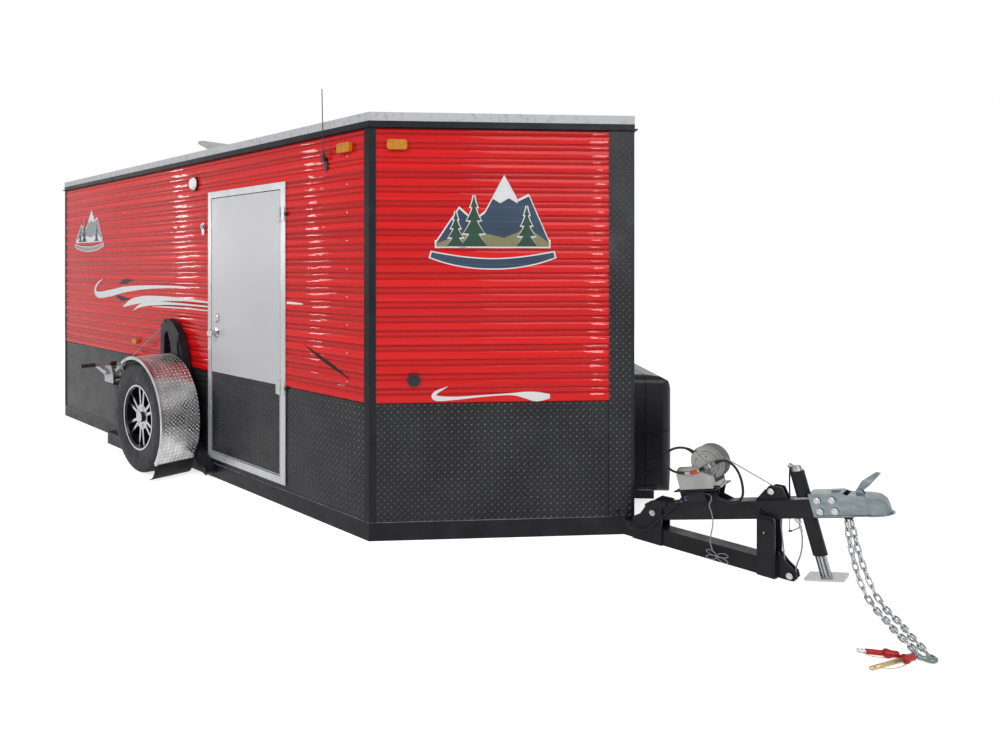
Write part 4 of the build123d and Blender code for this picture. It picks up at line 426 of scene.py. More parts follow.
def winch_grey():
    """Even satin grey of a cast housing, a little darker in soft patches."""
    return coat("winch_grey", (0.38, 0.385, 0.375), (0.27, 0.275, 0.27), 0.38, 0.45, worn=(0.28, 0.46, 30.0),
                grain=(0.00025, 420.0, 2.0))


def coupler_zinc():
    """Blue-grey pressed steel, clouded along its length."""
    return coat("coupler_zinc", (0.13, 0.165, 0.175), (0.25, 0.29, 0.30), 0.34, 0.75,
                patches=(16.0, (1.0, 1.0, 3.0)), worn=(0.18, 0.36, 26.0), grain=(0.0003, 350.0, 3.0))


def fluted_leg():
    """Zinc tube with rolled flutes running down it: a sine across the tube, below its collar, which also
    paints shade into the flutes' hollows.
    """
    finish = Finish("fluted_leg", (0.46, 0.47, 0.475), 0.3, 0.7)
    flutes = finish.maths("SINE", finish.maths("MULTIPLY", finish.reach(BEAM_WAY), 2 * math.pi / FLUTE_PITCH))
    tube_only = finish.beyond(BEAM_UP, BEAM_HEIGHT - LEG_FOOT)
    # Painted shade: the zinc darkens in the hollows of the flutes, where shade falls.
    painted_flute_shade = finish.maths("MULTIPLY", finish.spread(flutes, 1.0, 0.0, -0.6, 0.9), tube_only)
    finish.feed("Base Color", finish.mix(painted_flute_shade, finish.colour, (0.10, 0.10, 0.105)))
    finish.wear(0.22, 0.4, 60.0)
    return finish.relief(finish.maths("MULTIPLY", flutes, tube_only), 0.001)


def bright_aluminium(name, colour, other, low, high):
    return coat(name, colour, other, 0.24, 1.0, patches=(11.0,), worn=(low, high, 22.0),
                grain=(0.0004, 90.0, 3.0, (1, 1, 3)))


def gripped_zinc(name, grip_low, grip_high):
    """Zinc, with a black moulding inside a box on the right side and inside its mirror image on the left."""
    finish = zinc_plate(name)
    mirrored = (grip_low[0], -grip_high[1], grip_low[2]), (grip_high[0], -grip_low[1], grip_high[2])
    for low, high in ((grip_low, grip_high), mirrored):
        finish.zone(finish.inside(low, high), (0.012, 0.012, 0.013), (0.020, 0.020, 0.022), 0.0)
    return finish


def white_enamel():
    return coat("door_white", (0.555, 0.555, 0.570), (0.52, 0.525, 0.54), 0.34, patches=(1.6,),
                worn=(0.28, 0.42, 4.0), grain=(0.00015, 220.0, 2.0), Coat_Weight=0.2, Coat_Roughness=0.2)


def vinyl(name, colour, other):
    """Printed sheet, satin, a little uneven."""
    return coat(name, colour, other, 0.3, patches=(1.6,), worn=(0.24, 0.38, 4.0), grain=(0.00015, 220.0, 2.0),
                Specular_IOR_Level=0.12)


def roof_skin():
    """Pale sheet with a frost of darker specks."""
    finish = Finish("roof_skin", (0.50, 0.515, 0.53), 0.45, Specular_IOR_Level=0.3)
    specks = finish.spread(finish.noise(36.0, 6.0), 0.0, 0.5, 0.52, 0.66)
    finish.feed("Base Color", finish.mix(specks, finish.colour, (0.30, 0.31, 0.32)))
    finish.wear(0.35, 0.6, 6.0)
    return finish.relief(finish.noise(30.0, 4.0), 0.0012)


def rubber(name, colour=(0.016, 0.016, 0.017), roughness=0.72, grain=500.0):
    return coat(name, colour, tuple(2.2 * part for part in colour), roughness, patches=(18.0,),
                worn=(roughness - 0.1, min(1.0, roughness + 0.1), 24.0), grain=(0.0003, grain, 3.0),
                Specular_IOR_Level=0.18)


def moulded_plastic(name, colour, roughness=0.5, grain=700.0, gloss=0.35):
    return coat(name, colour, tuple(0.7 * part for part in colour), roughness, patches=(30.0,),
                grain=(0.00025, grain, 2.0), Specular_IOR_Level=gloss)


def lens_plastic(name, colour, glow):
    """Clear coloured plastic with fine upright flutes."""
    finish = Finish(name, colour, 0.2, Specular_IOR_Level=0.25, Coat_Weight=0.08)
    finish.mottle(glow, 60.0)
    return finish.relief(finish.add("ShaderNodeTexWave", {"Vector": finish.place(), "Scale": 90.0}), 0.0004)


def bright_chrome():
    return coat("bright_chrome", (0.58, 0.58, 0.57), (0.40, 0.395, 0.38), 0.12, 1.0, patches=(30.0,),
                worn=(0.08, 0.2, 50.0))


def floor_board():
    """Brown board with its grain drawn out along the house."""
    return coat("floor_board", (0.36, 0.25, 0.15), (0.50, 0.38, 0.25), 0.6, patches=(5.0, (0.4, 6.0, 1.0)),
                grain=(0.0005, 60.0, 4.0, (0.1, 1, 1)))


def rim_faces():
    """Machined metal where a face looks straight out along the axle, black gloss everywhere else."""
    finish = Finish("rim_faces", (0.012, 0.012, 0.013), 0.2, 0.3, Specular_IOR_Level=0.3)
    normal = finish.tree.nodes.new("ShaderNodeNewGeometry").outputs["Normal"]
    machined = finish.maths("GREATER_THAN", finish.maths("ABSOLUTE", finish.part(normal, 1)), 0.93)
    rings = finish.spread(finish.noise(80.0, 2.0), 0, 1)
    bright = finish.mix(rings, (0.50, 0.51, 0.53), (0.32, 0.33, 0.35))
    finish.feed("Base Color", finish.mix(machined, finish.colour, bright))
    finish.feed("Metallic", finish.spread(machined, 0.3, 1.0, 0.0, 1.0))
    return finish.wear(0.16, 0.3, 40.0)


def woven_cord(name, colour, other, scale):
    """Cord of two colours in slanting bands, which also stand proud."""
    finish = Finish(name, colour, 0.7)
    twill = finish.add("ShaderNodeTexWave", {"Vector": finish.place(), "Scale": scale, "Distortion": 1.0},
                       bands_direction="DIAGONAL")
    finish.feed("Base Color", finish.mix(twill, finish.colour, other))
    return finish.relief(twill, 0.0003)


def wall_fitting_parts():
    """Black mouldings, with the porch light's white lens and the chromed opener."""
    finish = moulded_plastic("wall_fittings", (0.014, 0.015, 0.017), 0.36)
    finish.zone(finish.inside(*PORCH_LENS), (0.90, 0.91, 0.92), (0.80, 0.81, 0.83))
    return finish.zone(finish.inside(*OPENER), (0.45, 0.45, 0.44), (0.30, 0.30, 0.30), 0.9)


def door_frame_aluminium():
    """Brushed aluminium, drawn out up the frame."""
    return coat("door_frame_aluminium", (0.56, 0.57, 0.575), (0.50, 0.51, 0.525), 0.3, 0.35,
                patches=(4.0, (3.0, 3.0, 0.6)), worn=(0.2, 0.36, 6.0, (2, 2, 1)), grain=(0.0001, 240.0, 2.0))


# Where one CAD node shows two finishes: boxes in metres, and heights square to the upper beam.
OUTER_SKIN = 0.03
HINGE_PLATE_OUT = 0.0497
LOWER_SHEAVE_BOX = (3.598, -0.0115, 0.0), (3.650, 0.0115, 0.050)
SWITCH_BOX = (3.20, -0.07, 0.24), (3.31, -0.0385, 0.32)
PORCH_LENS = (0.27, -HALF_WIDTH - 0.04, 1.82), (0.38, -HALF_WIDTH - 0.0121, 1.94)
OPENER = (0.41, -HALF_WIDTH - 0.04, 1.52), (0.47, -HALF_WIDTH, 1.64)
JACK_HEAD, JACK_FLANGE, LEG_FOOT, FLUTE_PITCH = 0.1505, (0.0379, 0.0453), 0.2765, 0.0135
BARE_ZINC = (0.26, 0.27, 0.28), (0.42, 0.43, 0.44), 0.8

RED_PAINT, BLACK_TREAD, BLACK_FRAME = red_siding_paint(), black_tread_plate(), black_frame_paint()
BASE_PAINT, CRADLE_PAINT = hinge_and_base_paint(), cradle_paint()
JACK_PAINT, MOUNT_PAINT = jack_paint(), winch_mount_paint()
ZINC = zinc_plate()
BRIGHT_ZINC = zinc_plate("bright_zinc", (0.42, 0.43, 0.44), (0.58, 0.59, 0.60), 300.0)
WINCH, COUPLER, LEG = winch_grey(), coupler_zinc(), fluted_leg()
ALUMINIUM = bright_aluminium("bright_aluminium", (0.54, 0.54, 0.545), (0.32, 0.32, 0.325), 0.20, 0.36)
HAND_WINCH = gripped_zinc("hand_winch_zinc", (-0.86, -1.10, 0.583), (-0.72, -1.044, 0.63))
CRANK = gripped_zinc("crank_zinc", (-1.05, -1.24, 0.54), (-1.0, -1.1171, 0.60))
DOOR_WHITE = white_enamel()
FRAME_METAL = door_frame_aluminium()
VINYL_WHITE = vinyl("white_vinyl", (0.78, 0.78, 0.79), (0.72, 0.73, 0.74))
VINYL_OLIVE = vinyl("olive_vinyl", (0.20, 0.19, 0.10), (0.30, 0.28, 0.16))
VINYL_GREY = vinyl("grey_vinyl", (0.30, 0.31, 0.32), (0.38, 0.39, 0.40))
VINYL_BLACK = vinyl("black_vinyl", (0.006, 0.006, 0.007), (0.010, 0.010, 0.011))
VINYL_GREEN = vinyl("pine_green_vinyl", (0.026, 0.068, 0.050), (0.052, 0.100, 0.064))
VINYL_BLUE = vinyl("slate_blue_vinyl", (0.026, 0.044, 0.082), (0.070, 0.108, 0.155))
ROOF = roof_skin()
VENT = moulded_plastic("vent_plastic", (0.54, 0.54, 0.52), 0.45)
TYRE = rubber("tyre_rubber", (0.019, 0.019, 0.022), 0.6)
FLAP = rubber("flap_rubber", (0.010, 0.010, 0.011), 0.6)
CHAIN = zinc_plate("chain_zinc", (0.33, 0.34, 0.355), (0.50, 0.51, 0.525), 260.0)
CORD = rubber("cord_rubber", (0.012, 0.012, 0.013), 0.42, 900.0)
BOTTLE = moulded_plastic("bottle_cover_plastic", (0.006, 0.006, 0.009), 0.28, 500.0, 0.24)
FITTINGS = wall_fitting_parts()
PLUG = moulded_plastic("plug_plastic", (0.24, 0.24, 0.245), 0.4)
ORANGE_TAG = moulded_plastic("orange_tag", (0.60, 0.10, 0.015), 0.5)
WHITE_SLEEVE = moulded_plastic("white_sleeve", (0.60, 0.60, 0.59), 0.5)
BLUE_WIRE = moulded_plastic("blue_wire", (0.07, 0.12, 0.34), 0.4)
AMBER = lens_plastic("amber_lens", (0.48, 0.16, 0.003), (0.66, 0.27, 0.009))
CHROME = bright_chrome()
BEAD_SEAL = rubber("bead_seal", (0.10, 0.10, 0.105), 0.4)
GOLD_SHAFT = zinc_plate("yellow_zinc", (0.42, 0.32, 0.16), (0.55, 0.44, 0.26), 200.0)
FLOOR, RIM = floor_board(), rim_faces()
LANYARD = woven_cord("lanyard_cord", (0.42, 0.43, 0.44), (0.16, 0.16, 0.17), 260.0)
STEEL_ROPE = woven_cord("steel_rope", (0.50, 0.51, 0.52), (0.20, 0.21, 0.22), 320.0)
RED_GRIP = moulded_plastic("red_grip", (0.50, 0.010, 0.012), 0.35)

CARRIED_OVER = {
    RED_PAINT: ("right_wall_rear", "right_wall_front", "right_wall_by_door", "nose_wall_right",
                "nose_wall_left", "left_wall", "rear_wall"),
    BLACK_TREAD: ("tread_plate_skirt", "nose_cap", "door_kick_panel"),
    BLACK_FRAME: ("frame", "frame_crossmembers", "corner_trims", "drip_trim", "gear_mounts", "tongue_beam",
                  "bottle_shelf", "right_arm", "left_arm"),
    BASE_PAINT: ("tongue_base",), CRADLE_PAINT: ("tongue_cradle",), JACK_PAINT: ("jack_tube",),
    MOUNT_PAINT: ("tongue_winch_mount",), WINCH: ("tongue_winch",), LEG: ("jack_leg",),
    COUPLER: ("coupler", "coupler_latch"), HAND_WINCH: ("hand_winches",),
    CRANK: ("right_crank", "left_crank"), ALUMINIUM: ("right_fender", "left_fender"),
    DOOR_WHITE: ("door_leaf",), FRAME_METAL: ("door_frame",), ROOF: ("roof",), VENT: ("roof_vent",),
    TYRE: ("right_tyre", "left_tyre"),
    RIM: ("right_rim", "left_rim"), FLAP: ("right_flap", "left_flap"), BOTTLE: ("bottle_cover",),
    FITTINGS: ("wall_fittings",), AMBER: ("marker_lights",), CHROME: ("door_lockset",), FLOOR: ("floor",),
}
for finish, names in CARRIED_OVER.items():
    for name in names:
        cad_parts[name].material_slots[0].material = finish.material


# --- cords ----------------------------------------------------------------
def route_curve(name, points):
    """Smooth line with a route's points as its control points."""
    curve = bpy.data.curves.new(name, "CURVE")
    curve.dimensions = "3D"
    curve.resolution_u = 16
    spline = curve.splines.new("NURBS")
    spline.points.add(len(points) - 1)
    spline.points.foreach_set("co", np.c_[np.asarray(points, float), np.ones(len(points))].ravel())
    spline.order_u = 3
    spline.use_endpoint_u = True
    return curve


def line_of(points):
    """Points along the smooth line of a route."""
    curve = route_curve("line", points)
    holder = bpy.data.objects.new("line", curve)
    mesh = bpy.data.meshes.new_from_object(holder)
    line = np.zeros(len(mesh.vertices) * 3)
    mesh.vertices.foreach_get("co", line)
    bpy.data.objects.remove(holder)
    bpy.data.curves.remove(curve)
    bpy.data.meshes.remove(mesh)
    return line.reshape(-1, 3)


def length_of(line):
    """Length of a line of points."""
    return float(np.linalg.norm(np.diff(line, axis=0), axis=1).sum())


def along_line(line, distances):
    """Points at given distances along a line."""
    run = np.concatenate([[0.0], np.cumsum(np.linalg.norm(np.diff(line, axis=0), axis=1))])
    return np.stack([np.interp(distances, run, line[:, axis]) for axis in range(3)], axis=-1)


def round_cord(name, points, radius, finish):
    """Round cord as a bevelled curve along its route, on the tongue."""
    curve = route_curve(name, points)
    curve.bevel_depth, curve.bevel_resolution, curve.use_fill_caps = radius, 5, True
    curve.materials.append(finish.material)
    cord = bpy.data.objects.new(name, curve)
    bpy.context.scene.collection.objects.link(cord)
    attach(cord, "tongue")
    return cord


WINCH_LEAD = ((3.2316, -0.059, 0.4780), (3.2136, -0.059, 0.4906), (3.180, -0.080, 0.499),
              (3.142, -0.096, 0.486), (3.114, -0.103, 0.456), (3.112, -0.103, 0.416), (3.140, -0.103, 0.388),
              (3.184, -0.102, 0.383), (3.224, -0.101, 0.390), (3.2607, -0.101, 0.406), (3.297, -0.101, 0.431))
POWER_LEAD = ((3.345, -0.101, 0.464), (3.368, -0.101, 0.4798), (3.397, -0.100, 0.481), (3.423, -0.097, 0.465),
              (3.441, -0.094, 0.438), (3.452, -0.092, 0.405), (3.457, -0.090, 0.370), (3.456, -0.088, 0.338),
              (3.441, -0.086, 0.312), (3.415, -0.085, 0.299), (3.385, -0.084, 0.296), (3.354, -0.084, 0.300),
              (3.331, -0.077, 0.308), (3.320, -0.064, 0.314), (3.320, -0.0502, 0.314))
SWITCH_LANYARD = ((3.2829, -0.055, 0.3005), (3.3014, -0.055, 0.3054), (3.315, -0.062, 0.286),
                  (3.300, -0.066, 0.256), (3.314, -0.066, 0.226), (3.322, -0.066, 0.178),
                  (3.311, -0.066, 0.128), (3.305, -0.066, 0.084), (3.318, -0.066, 0.057))
TONGUE_HARNESS = ((2.856, -0.062, 0.124), (2.871, -0.0753, 0.124), (2.890, -0.082, 0.096),
                  (2.918, -0.076, 0.062), (2.954, -0.072, 0.053), (2.994, -0.070, 0.061),
                  (3.030, -0.069, 0.088), (3.062, -0.068, 0.124), (3.094, -0.066, 0.158),
                  (3.130, -0.060, 0.198), (3.159, -0.055, 0.236), (3.179, -0.054, 0.2624),
                  (3.202, -0.054, 0.2686))
LEAD_RADIUS, LANYARD_RADIUS, HARNESS_RADIUS = 0.0055, 0.0025, 0.0045
PLUG_REAR, PLUG_FRONT = np.array(WINCH_LEAD[-1]), np.array(POWER_LEAD[0])
PLUG_PROFILE = ((0, 0), (0.0080, 0), (0.0108, 0.003), (0.0120, 0.006), (0.0120, 0.022), (0.0112, 0.0225),
                (0.0112, 0.0245), (0.0133, 0.0255), (0.0133, 0.0335), (0.0112, 0.0345), (0.0112, 0.0365),
                (0.0120, 0.037), (0.0120, 0.051), (0.0098, 0.0565), (0, 0.0582))
RING_PROFILE = ((0.0120, 0.0262), (0.0136, 0.0262), (0.0138, 0.0270), (0.0138, 0.0320), (0.0136, 0.0328),
                (0.0120, 0.0328))
plug = lathe("lead_plug_body", PLUG_PROFILE, PLUG_REAR, PLUG_FRONT - PLUG_REAR, PLUG, "tongue",
             "plug_plastic", 28)
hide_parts("lead_plug")
lathe("lead_plug_ring", RING_PROFILE, PLUG_REAR, PLUG_FRONT - PLUG_REAR, BRIGHT_ZINC, "tongue", "winch_zinc",
      28, merge=False)
winch_lead = round_cord("winch_lead_cord", WINCH_LEAD, LEAD_RADIUS, CORD)
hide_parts("winch_lead")
length_of(line_of(WINCH_LEAD))
power_lead = round_cord("power_lead_cord", POWER_LEAD, LEAD_RADIUS, CORD)
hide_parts("power_lead")
length_of(line_of(POWER_LEAD))


def sleeve(name, line, start, stop, thick, thin, finish, rings=0.0):
    """Sleeve along part of a line: its radius runs from one end's to the other's, with soft rings."""
    share = np.linspace(0, 1, 25)
    path = along_line(line, start + (stop - start) * share)
    radius = thick + (thin - thick) * share + rings * np.sin(share * 10 * np.pi) ** 2
    return rod(name, path, radius, finish, "tongue", "cord_rubber", 16)


lead_line, power_line = line_of(WINCH_LEAD), line_of(POWER_LEAD)
lead_long, power_long = length_of(lead_line), length_of(power_line)
THIN_END = 0.0062
sleeve("winch_lead_relief", lead_line, 0.0, 0.034, 0.0088, THIN_END, CORD, 0.0007)
sleeve("winch_lead_plug_relief", lead_line, lead_long, lead_long - 0.026, 0.0082, THIN_END, CORD, 0.0006)
sleeve("power_lead_plug_relief", power_line, 0.0, 0.030, 0.0082, THIN_END, CORD, 0.0006)
sleeve("power_lead_relief", power_line, power_long, power_long - 0.024, 0.0078, THIN_END, CORD, 0.0006)
sleeve("lead_orange_tag", lead_line, lead_long - 0.074, lead_long - 0.036, 0.0078, 0.0078, ORANGE_TAG)
sleeve("lead_white_band", lead_line, lead_long - 0.036, lead_long - 0.030, 0.0074, 0.0074, WHITE_SLEEVE)
sleeve("lead_white_tail", lead_line, lead_long - 0.100, lead_long - 0.074, 0.0066, 0.0074, WHITE_SLEEVE)


def wire(name, points, radius, finish, slot, sides=8):
    """Fine wire or rod on the tongue: a circle carried along the smooth line of a few points."""
    return rod(name, line_of(points), radius, finish, "tongue", slot, sides)


for number, (rise, swing, finish) in enumerate(((0.004, 0.004, BLUE_WIRE), (-0.005, 0.009, BLUE_WIRE),
                                                (-0.001, 0.001, WHITE_SLEEVE))):
    ends = on_beam([0.199, 0.190, 0.182, 0.185, 0.196],
                   [0.070 + rise, 0.074 + rise, 0.066 + rise, 0.056 + rise, 0.052],
                   [-0.058, -0.060 - swing, -0.062 - swing, -0.060 - swing, -0.052])
    wire(f"switch_wire_{number + 1}", ends, 0.0013, finish, "fitting_plastic")
LEVER_Y = -0.080
wire("clutch_lever", on_beam([0.336, 0.350, 0.366, 0.384], [0.112, 0.118, 0.112, 0.122], LEVER_Y), 0.0042,
     BLACK_FRAME, "frame_paint", 12)
wire("clutch_lever_grip", on_beam([0.372, 0.386, 0.400], [0.113, 0.124, 0.134], LEVER_Y), 0.0055, ZINC,
     "winch_zinc", 12)
wire("jack_strap_above", ((3.6205, -0.010, 0.480), (3.6170, -0.010, 0.430), (3.6200, -0.009, 0.352)), 0.0034,
     CORD, "cord_rubber")
wire("jack_rod_below", ((3.6185, -0.006, 0.278), (3.6180, -0.006, 0.240), (3.6175, -0.006, 0.205)), 0.0022,
     ZINC, "winch_zinc")
wire("rope_dead_end", ((3.6580, -0.004, 0.236), (3.6480, -0.010, 0.226), (3.6360, -0.014, 0.218),
                       (3.6240, -0.018, 0.212)), 0.0026, STEEL_ROPE, "winch_zinc")
wire("rope_end_cap", ((3.6300, -0.0158, 0.2145), (3.6240, -0.018, 0.212), (3.6180, -0.020, 0.209)), 0.0042,
     CORD, "cord_rubber", 12)
BOW_WIDEN, BOW_INSET = 1.31, (0.004, 0.0028, 0.003)


def lanyard_bow():
    """Four loops of thin cord: a four-petalled rose turned by an eighth and drawn out level, swaying a bit.
    A rose so turned reaches 0.77 of its radius each way, so that is made larger than half its solid's box."""
    low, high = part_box("lanyard_bow")
    middle, half = (low + high) / 2, (high - low) / 2
    angle = full_turn(240)
    petal = np.cos(2 * angle)
    reach, rise = BOW_WIDEN * (half.x - BOW_INSET[0]), BOW_WIDEN * (half.z - BOW_INSET[2])
    path = np.stack([middle.x + reach * petal * np.cos(angle + np.pi / 4),
                     middle.y + (half.y - BOW_INSET[1]) * np.sin(3 * angle),
                     middle.z + rise * petal * np.sin(angle + np.pi / 4)], axis=-1)
    closed = np.concatenate([path[-1:], path, path[:1]])
    points = tube(closed, LANYARD_RADIUS * 0.8, 8, closed=True)[0][1:-1]
    return piece("lanyard_bow_loops", points, grid_faces(len(points), 8, True, True), LANYARD, "tongue",
                 "lanyard_cord")


bow = lanyard_bow()
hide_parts("lanyard_bow")
lanyard = round_cord("switch_lanyard_cord", SWITCH_LANYARD, LANYARD_RADIUS, LANYARD)
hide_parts("switch_lanyard")
length_of(line_of(SWITCH_LANYARD))

harness_line = line_of(TONGUE_HARNESS)
harness = rod("tongue_harness_cord", harness_line, HARNESS_RADIUS, CORD, None, "cord_rubber")
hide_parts("tongue_harness")
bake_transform(harness)

# --- safety chains --------------------------------------------------------
LINK_WIRE, LINK_HALF_WIDTH, LINK_HALF_LENGTH, LINK_PITCH = 0.0041, 0.0096, 0.0200, 0.0318
CHAIN_FLOOR = 0.0115
CHAIN_NEAR = ((3.830, -0.012, 0.304), (3.836, -0.015, 0.258), (3.845, -0.016, 0.205), (3.857, -0.017, 0.148),
              (3.872, -0.019, 0.096), (3.890, -0.025, 0.052), (3.918, -0.052, 0.022),
              (3.960, -0.112, CHAIN_FLOOR), (3.998, -0.166, CHAIN_FLOOR), (4.030, -0.226, CHAIN_FLOOR),
              (4.074, -0.282, CHAIN_FLOOR), (4.112, -0.344, CHAIN_FLOOR))
CHAIN_FAR = ((3.842, 0.012, 0.307), (3.850, 0.013, 0.260), (3.862, 0.013, 0.206), (3.877, 0.012, 0.150),
             (3.896, 0.009, 0.098), (3.918, 0.000, 0.054), (3.948, -0.030, 0.022),
             (3.992, -0.088, CHAIN_FLOOR), (4.036, -0.146, CHAIN_FLOOR), (4.066, -0.212, CHAIN_FLOOR),
             (4.106, -0.266, CHAIN_FLOOR), (4.140, -0.330, CHAIN_FLOOR))


def link_shape(around=20, across=8):
    """One link: a circle carried round a long ring whose straight sides are half its length."""
    turn, section = full_turn(around)[:, None], full_turn(across)[None, :]
    straight = (LINK_HALF_LENGTH - LINK_HALF_WIDTH) * np.clip(3 * np.cos(turn), -1, 1)
    out = LINK_HALF_WIDTH + LINK_WIRE * np.cos(section)
    shape = np.stack([straight + out * np.cos(turn), out * np.sin(turn),
                      -LINK_WIRE * np.sin(section) + 0 * turn], axis=-1)
    return shape.reshape(-1, 3), grid_faces(around, across, True, True)


def chain(name, route):
    """Links at even steps along a line, the first an eighth turned and each a quarter turn from the last."""
    line = line_of(route)
    steps = np.arange(LINK_PITCH / 2, length_of(line), LINK_PITCH)
    spots = along_line(line, steps)
    tangent, side, rise = directions(spots)
    turn = (np.pi / 4 + np.pi / 2 * np.arange(len(steps)))[:, None]
    flat = side * np.cos(turn) + rise * np.sin(turn)
    places = np.stack([spots, tangent, flat, np.cross(tangent, flat)], axis=1)
    strand = piece(name, *copies(*link_shape(), places), CHAIN, None, "winch_zinc")
    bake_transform(strand)
    return strand


near_chain = chain("near_safety_chain", CHAIN_NEAR)
chain("far_safety_chain", CHAIN_FAR)
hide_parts("safety_chains")
HOOK_SHANK, HOOK_BEND, HOOK_SWEEP = 0.026, 0.021, 4.2
HOOK_ROOT, HOOK_SWELL, HOOK_TAPER = 0.0055, 0.0032, 0.0025


def hook(name, end, way, hand):
    """Chain hook lying flat: a shank, then most of a circle to one side of it, thickest round the bend."""
    end, way = np.array(end), unit(way)
    side = hand * np.cross((0, 0, 1), way)
    turn = np.linspace(0, HOOK_SWEEP, 40)[:, None]
    bend = end + HOOK_SHANK * way + HOOK_BEND * (side * (1 - np.cos(turn)) + way * np.sin(turn))
    path = np.concatenate([end + way * np.linspace(0, HOOK_SHANK, 8)[:-1, None], bend])
    share = np.linspace(0, 1, len(path))
    radius = HOOK_ROOT + HOOK_SWELL * np.sin(np.pi * share) - HOOK_TAPER * share**4
    return rod(name, path, radius, COUPLER, "house", "winch_zinc", 14, (0, 0, 1))


near_hook = hook("near_chain_hook", (4.107, -0.334, 0.0105), (0.62, -0.78), 1)
hook("far_chain_hook", (4.134, -0.322, 0.0165), (0.30, -0.95), -1)
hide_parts("chain_ends_and_pins")
PIN_FLOOR, PIN_DIP, BAIL_FLOOR, BAIL_REACH, BAIL_SWELL, BAIL_WIRE = 0.018, -0.06, 0.010, 0.120, 0.022, 0.0015
PIN_HEAD = ((0, -0.036), (0.0085, -0.036), (0.0115, -0.033), (0.0115, -0.014), (0.0150, -0.006),
            (0.0158, 0.0), (0.0150, 0.006), (0.0110, 0.011), (0, 0.012))
PIN_SHAFT = ((0, 0.010), (0.0074, 0.010), (0.0074, 0.126), (0.0062, 0.128), (0.0062, 0.133), (0.0074, 0.135),
             (0.0074, 0.145), (0.0052, 0.150), (0, 0.150))
PIN_COAT = ((0.0070, 0.010), (0.0090, 0.012), (0.0090, 0.104), (0.0070, 0.106))


def bail(head, way, reach):
    """Spring wire from a pin's head to its tip: half an ellipse beside the pin."""
    head, way = np.array([*head, BAIL_FLOOR]), unit(way)
    turn = np.linspace(0, np.pi, 24)[:, None]
    side = np.cross((0, 0, 1), way)
    return head + way * reach * (1 - np.cos(turn)) / 2 + side * BAIL_SWELL * np.sin(turn)


for number, (head, way, shaft, share) in enumerate((((4.089, -0.423), (-0.5, -0.866), GOLD_SHAFT, 1.0),
                                                    ((4.038, -0.426), (-0.9, -0.436), BRIGHT_ZINC, 0.6))):
    foot, aim, drawn = (*head, PIN_FLOOR), (*way, PIN_DIP), np.array([1.0, share])
    lathe(f"lock_pin_grip_{number + 1}", PIN_HEAD, foot, aim, RED_GRIP, "house", "winch_zinc")
    lathe(f"lock_pin_shaft_{number + 1}", PIN_SHAFT * drawn, foot, aim, shaft, "house", "winch_zinc")
    rod(f"lock_pin_bail_{number + 1}", bail(head, way, BAIL_REACH * share), BAIL_WIRE, GOLD_SHAFT, "house",
        "winch_zinc", 8, (0, 0, 1))
    if number:
        lathe("lock_pin_coat", PIN_COAT * drawn, foot, aim, RED_GRIP, "house", "winch_zinc", merge=False)

# --- ropes, and bolts on the tongue ---------------------------------------
WASHER_THICK = 0.0023
WASHER = ((0, 0), (0.0130, 0), (0.0135, 0.0005), (0.0135, 0.0018), (0.0130, WASHER_THICK), (0, WASHER_THICK))
HEX_HEAD = ((0, 0), (0.0100, 0), (0.0100, 0.0058), (0.0088, 0.0072), (0.0050, 0.0075), (0, 0.0075))
CLAMP = ((0, 0), (0.0048, 0), (0.0056, 0.002), (0.0056, 0.010), (0.0044, 0.012), (0.0056, 0.014),
         (0.0056, 0.024), (0.0040, 0.027), (0, 0.027))
TOP_SHEAVE, LOWER_SHEAVE = on_beam(0.557, 0.073, 0.0), np.array([3.622, 0.0, 0.022])
TOP_SHEAVE_FACE, LOWER_SHEAVE_FACE = 0.028, 0.026
ROPE_RADIUS, ROPE_TURN, CABLE_RADIUS, COUPLER_SIDE = 0.003, 0.0191, 0.004, 0.0500


def lower_rope():
    """Rope from the top sheave's front, behind and under the lower one, and slack up to its anchor."""
    gap = (LOWER_SHEAVE - TOP_SHEAVE)[[0, 2]]
    leave = math.atan2(gap[1], gap[0]) + math.acos(2 * ROPE_TURN / np.linalg.norm(gap))
    step = (math.pi - leave) / 4
    tangent = np.array([math.cos(leave), 0.0, math.sin(leave)])
    lead = np.array([math.sin(leave), 0.0, -math.cos(leave)])
    turn = math.pi + leave + step * (np.arange(4) + 0.5)
    circle = np.stack([np.cos(turn), 0 * turn, np.sin(turn)], axis=-1)
    around = LOWER_SHEAVE + ROPE_TURN / math.cos(step / 2) * circle
    short = ROPE_TURN * math.tan(step / 2)
    route = [TOP_SHEAVE + ROPE_TURN * tangent, LOWER_SHEAVE - ROPE_TURN * tangent - short * lead, *around,
             LOWER_SHEAVE + (ROPE_TURN, 0, short), (3.6411, 0, 0.062), (3.659, 0, 0.112), (3.666, 0, 0.166),
             (3.663, 0, 0.214), on_beam(0.628, -0.0664, 0.0)]
    rope = rod("winch_rope_strand", line_of(route), ROPE_RADIUS, STEEL_ROPE, None, "winch_zinc")
    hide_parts("winch_rope_lower")
    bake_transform(rope)


lower_rope()

# A straight cable from each winch's drum to its arm's eye.
for name, side in SIDES:
    on_drum, on_eye = np.array([-0.8157, side * 1.030, 0.5282]), np.array([-0.0438, side * 1.030, 0.9209])
    cable = rod(f"{name}_lift_strand", np.linspace(on_drum, on_eye, 64), CABLE_RADIUS, STEEL_ROPE, None,
                "winch_zinc")
    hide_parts(f"{name}_lift_cable")
    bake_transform(cable)


def bolt(name, spot, side, body="tongue"):
    """Hexagon head on a round washer, facing one side."""
    way = np.array([0.0, side, 0.0])
    lathe(f"{name}_washer", WASHER, spot, way, BRIGHT_ZINC, body, "winch_zinc", 20)
    lathe(f"{name}_head", HEX_HEAD, spot + WASHER_THICK * way, way, BRIGHT_ZINC, body, "winch_zinc", 6, False)


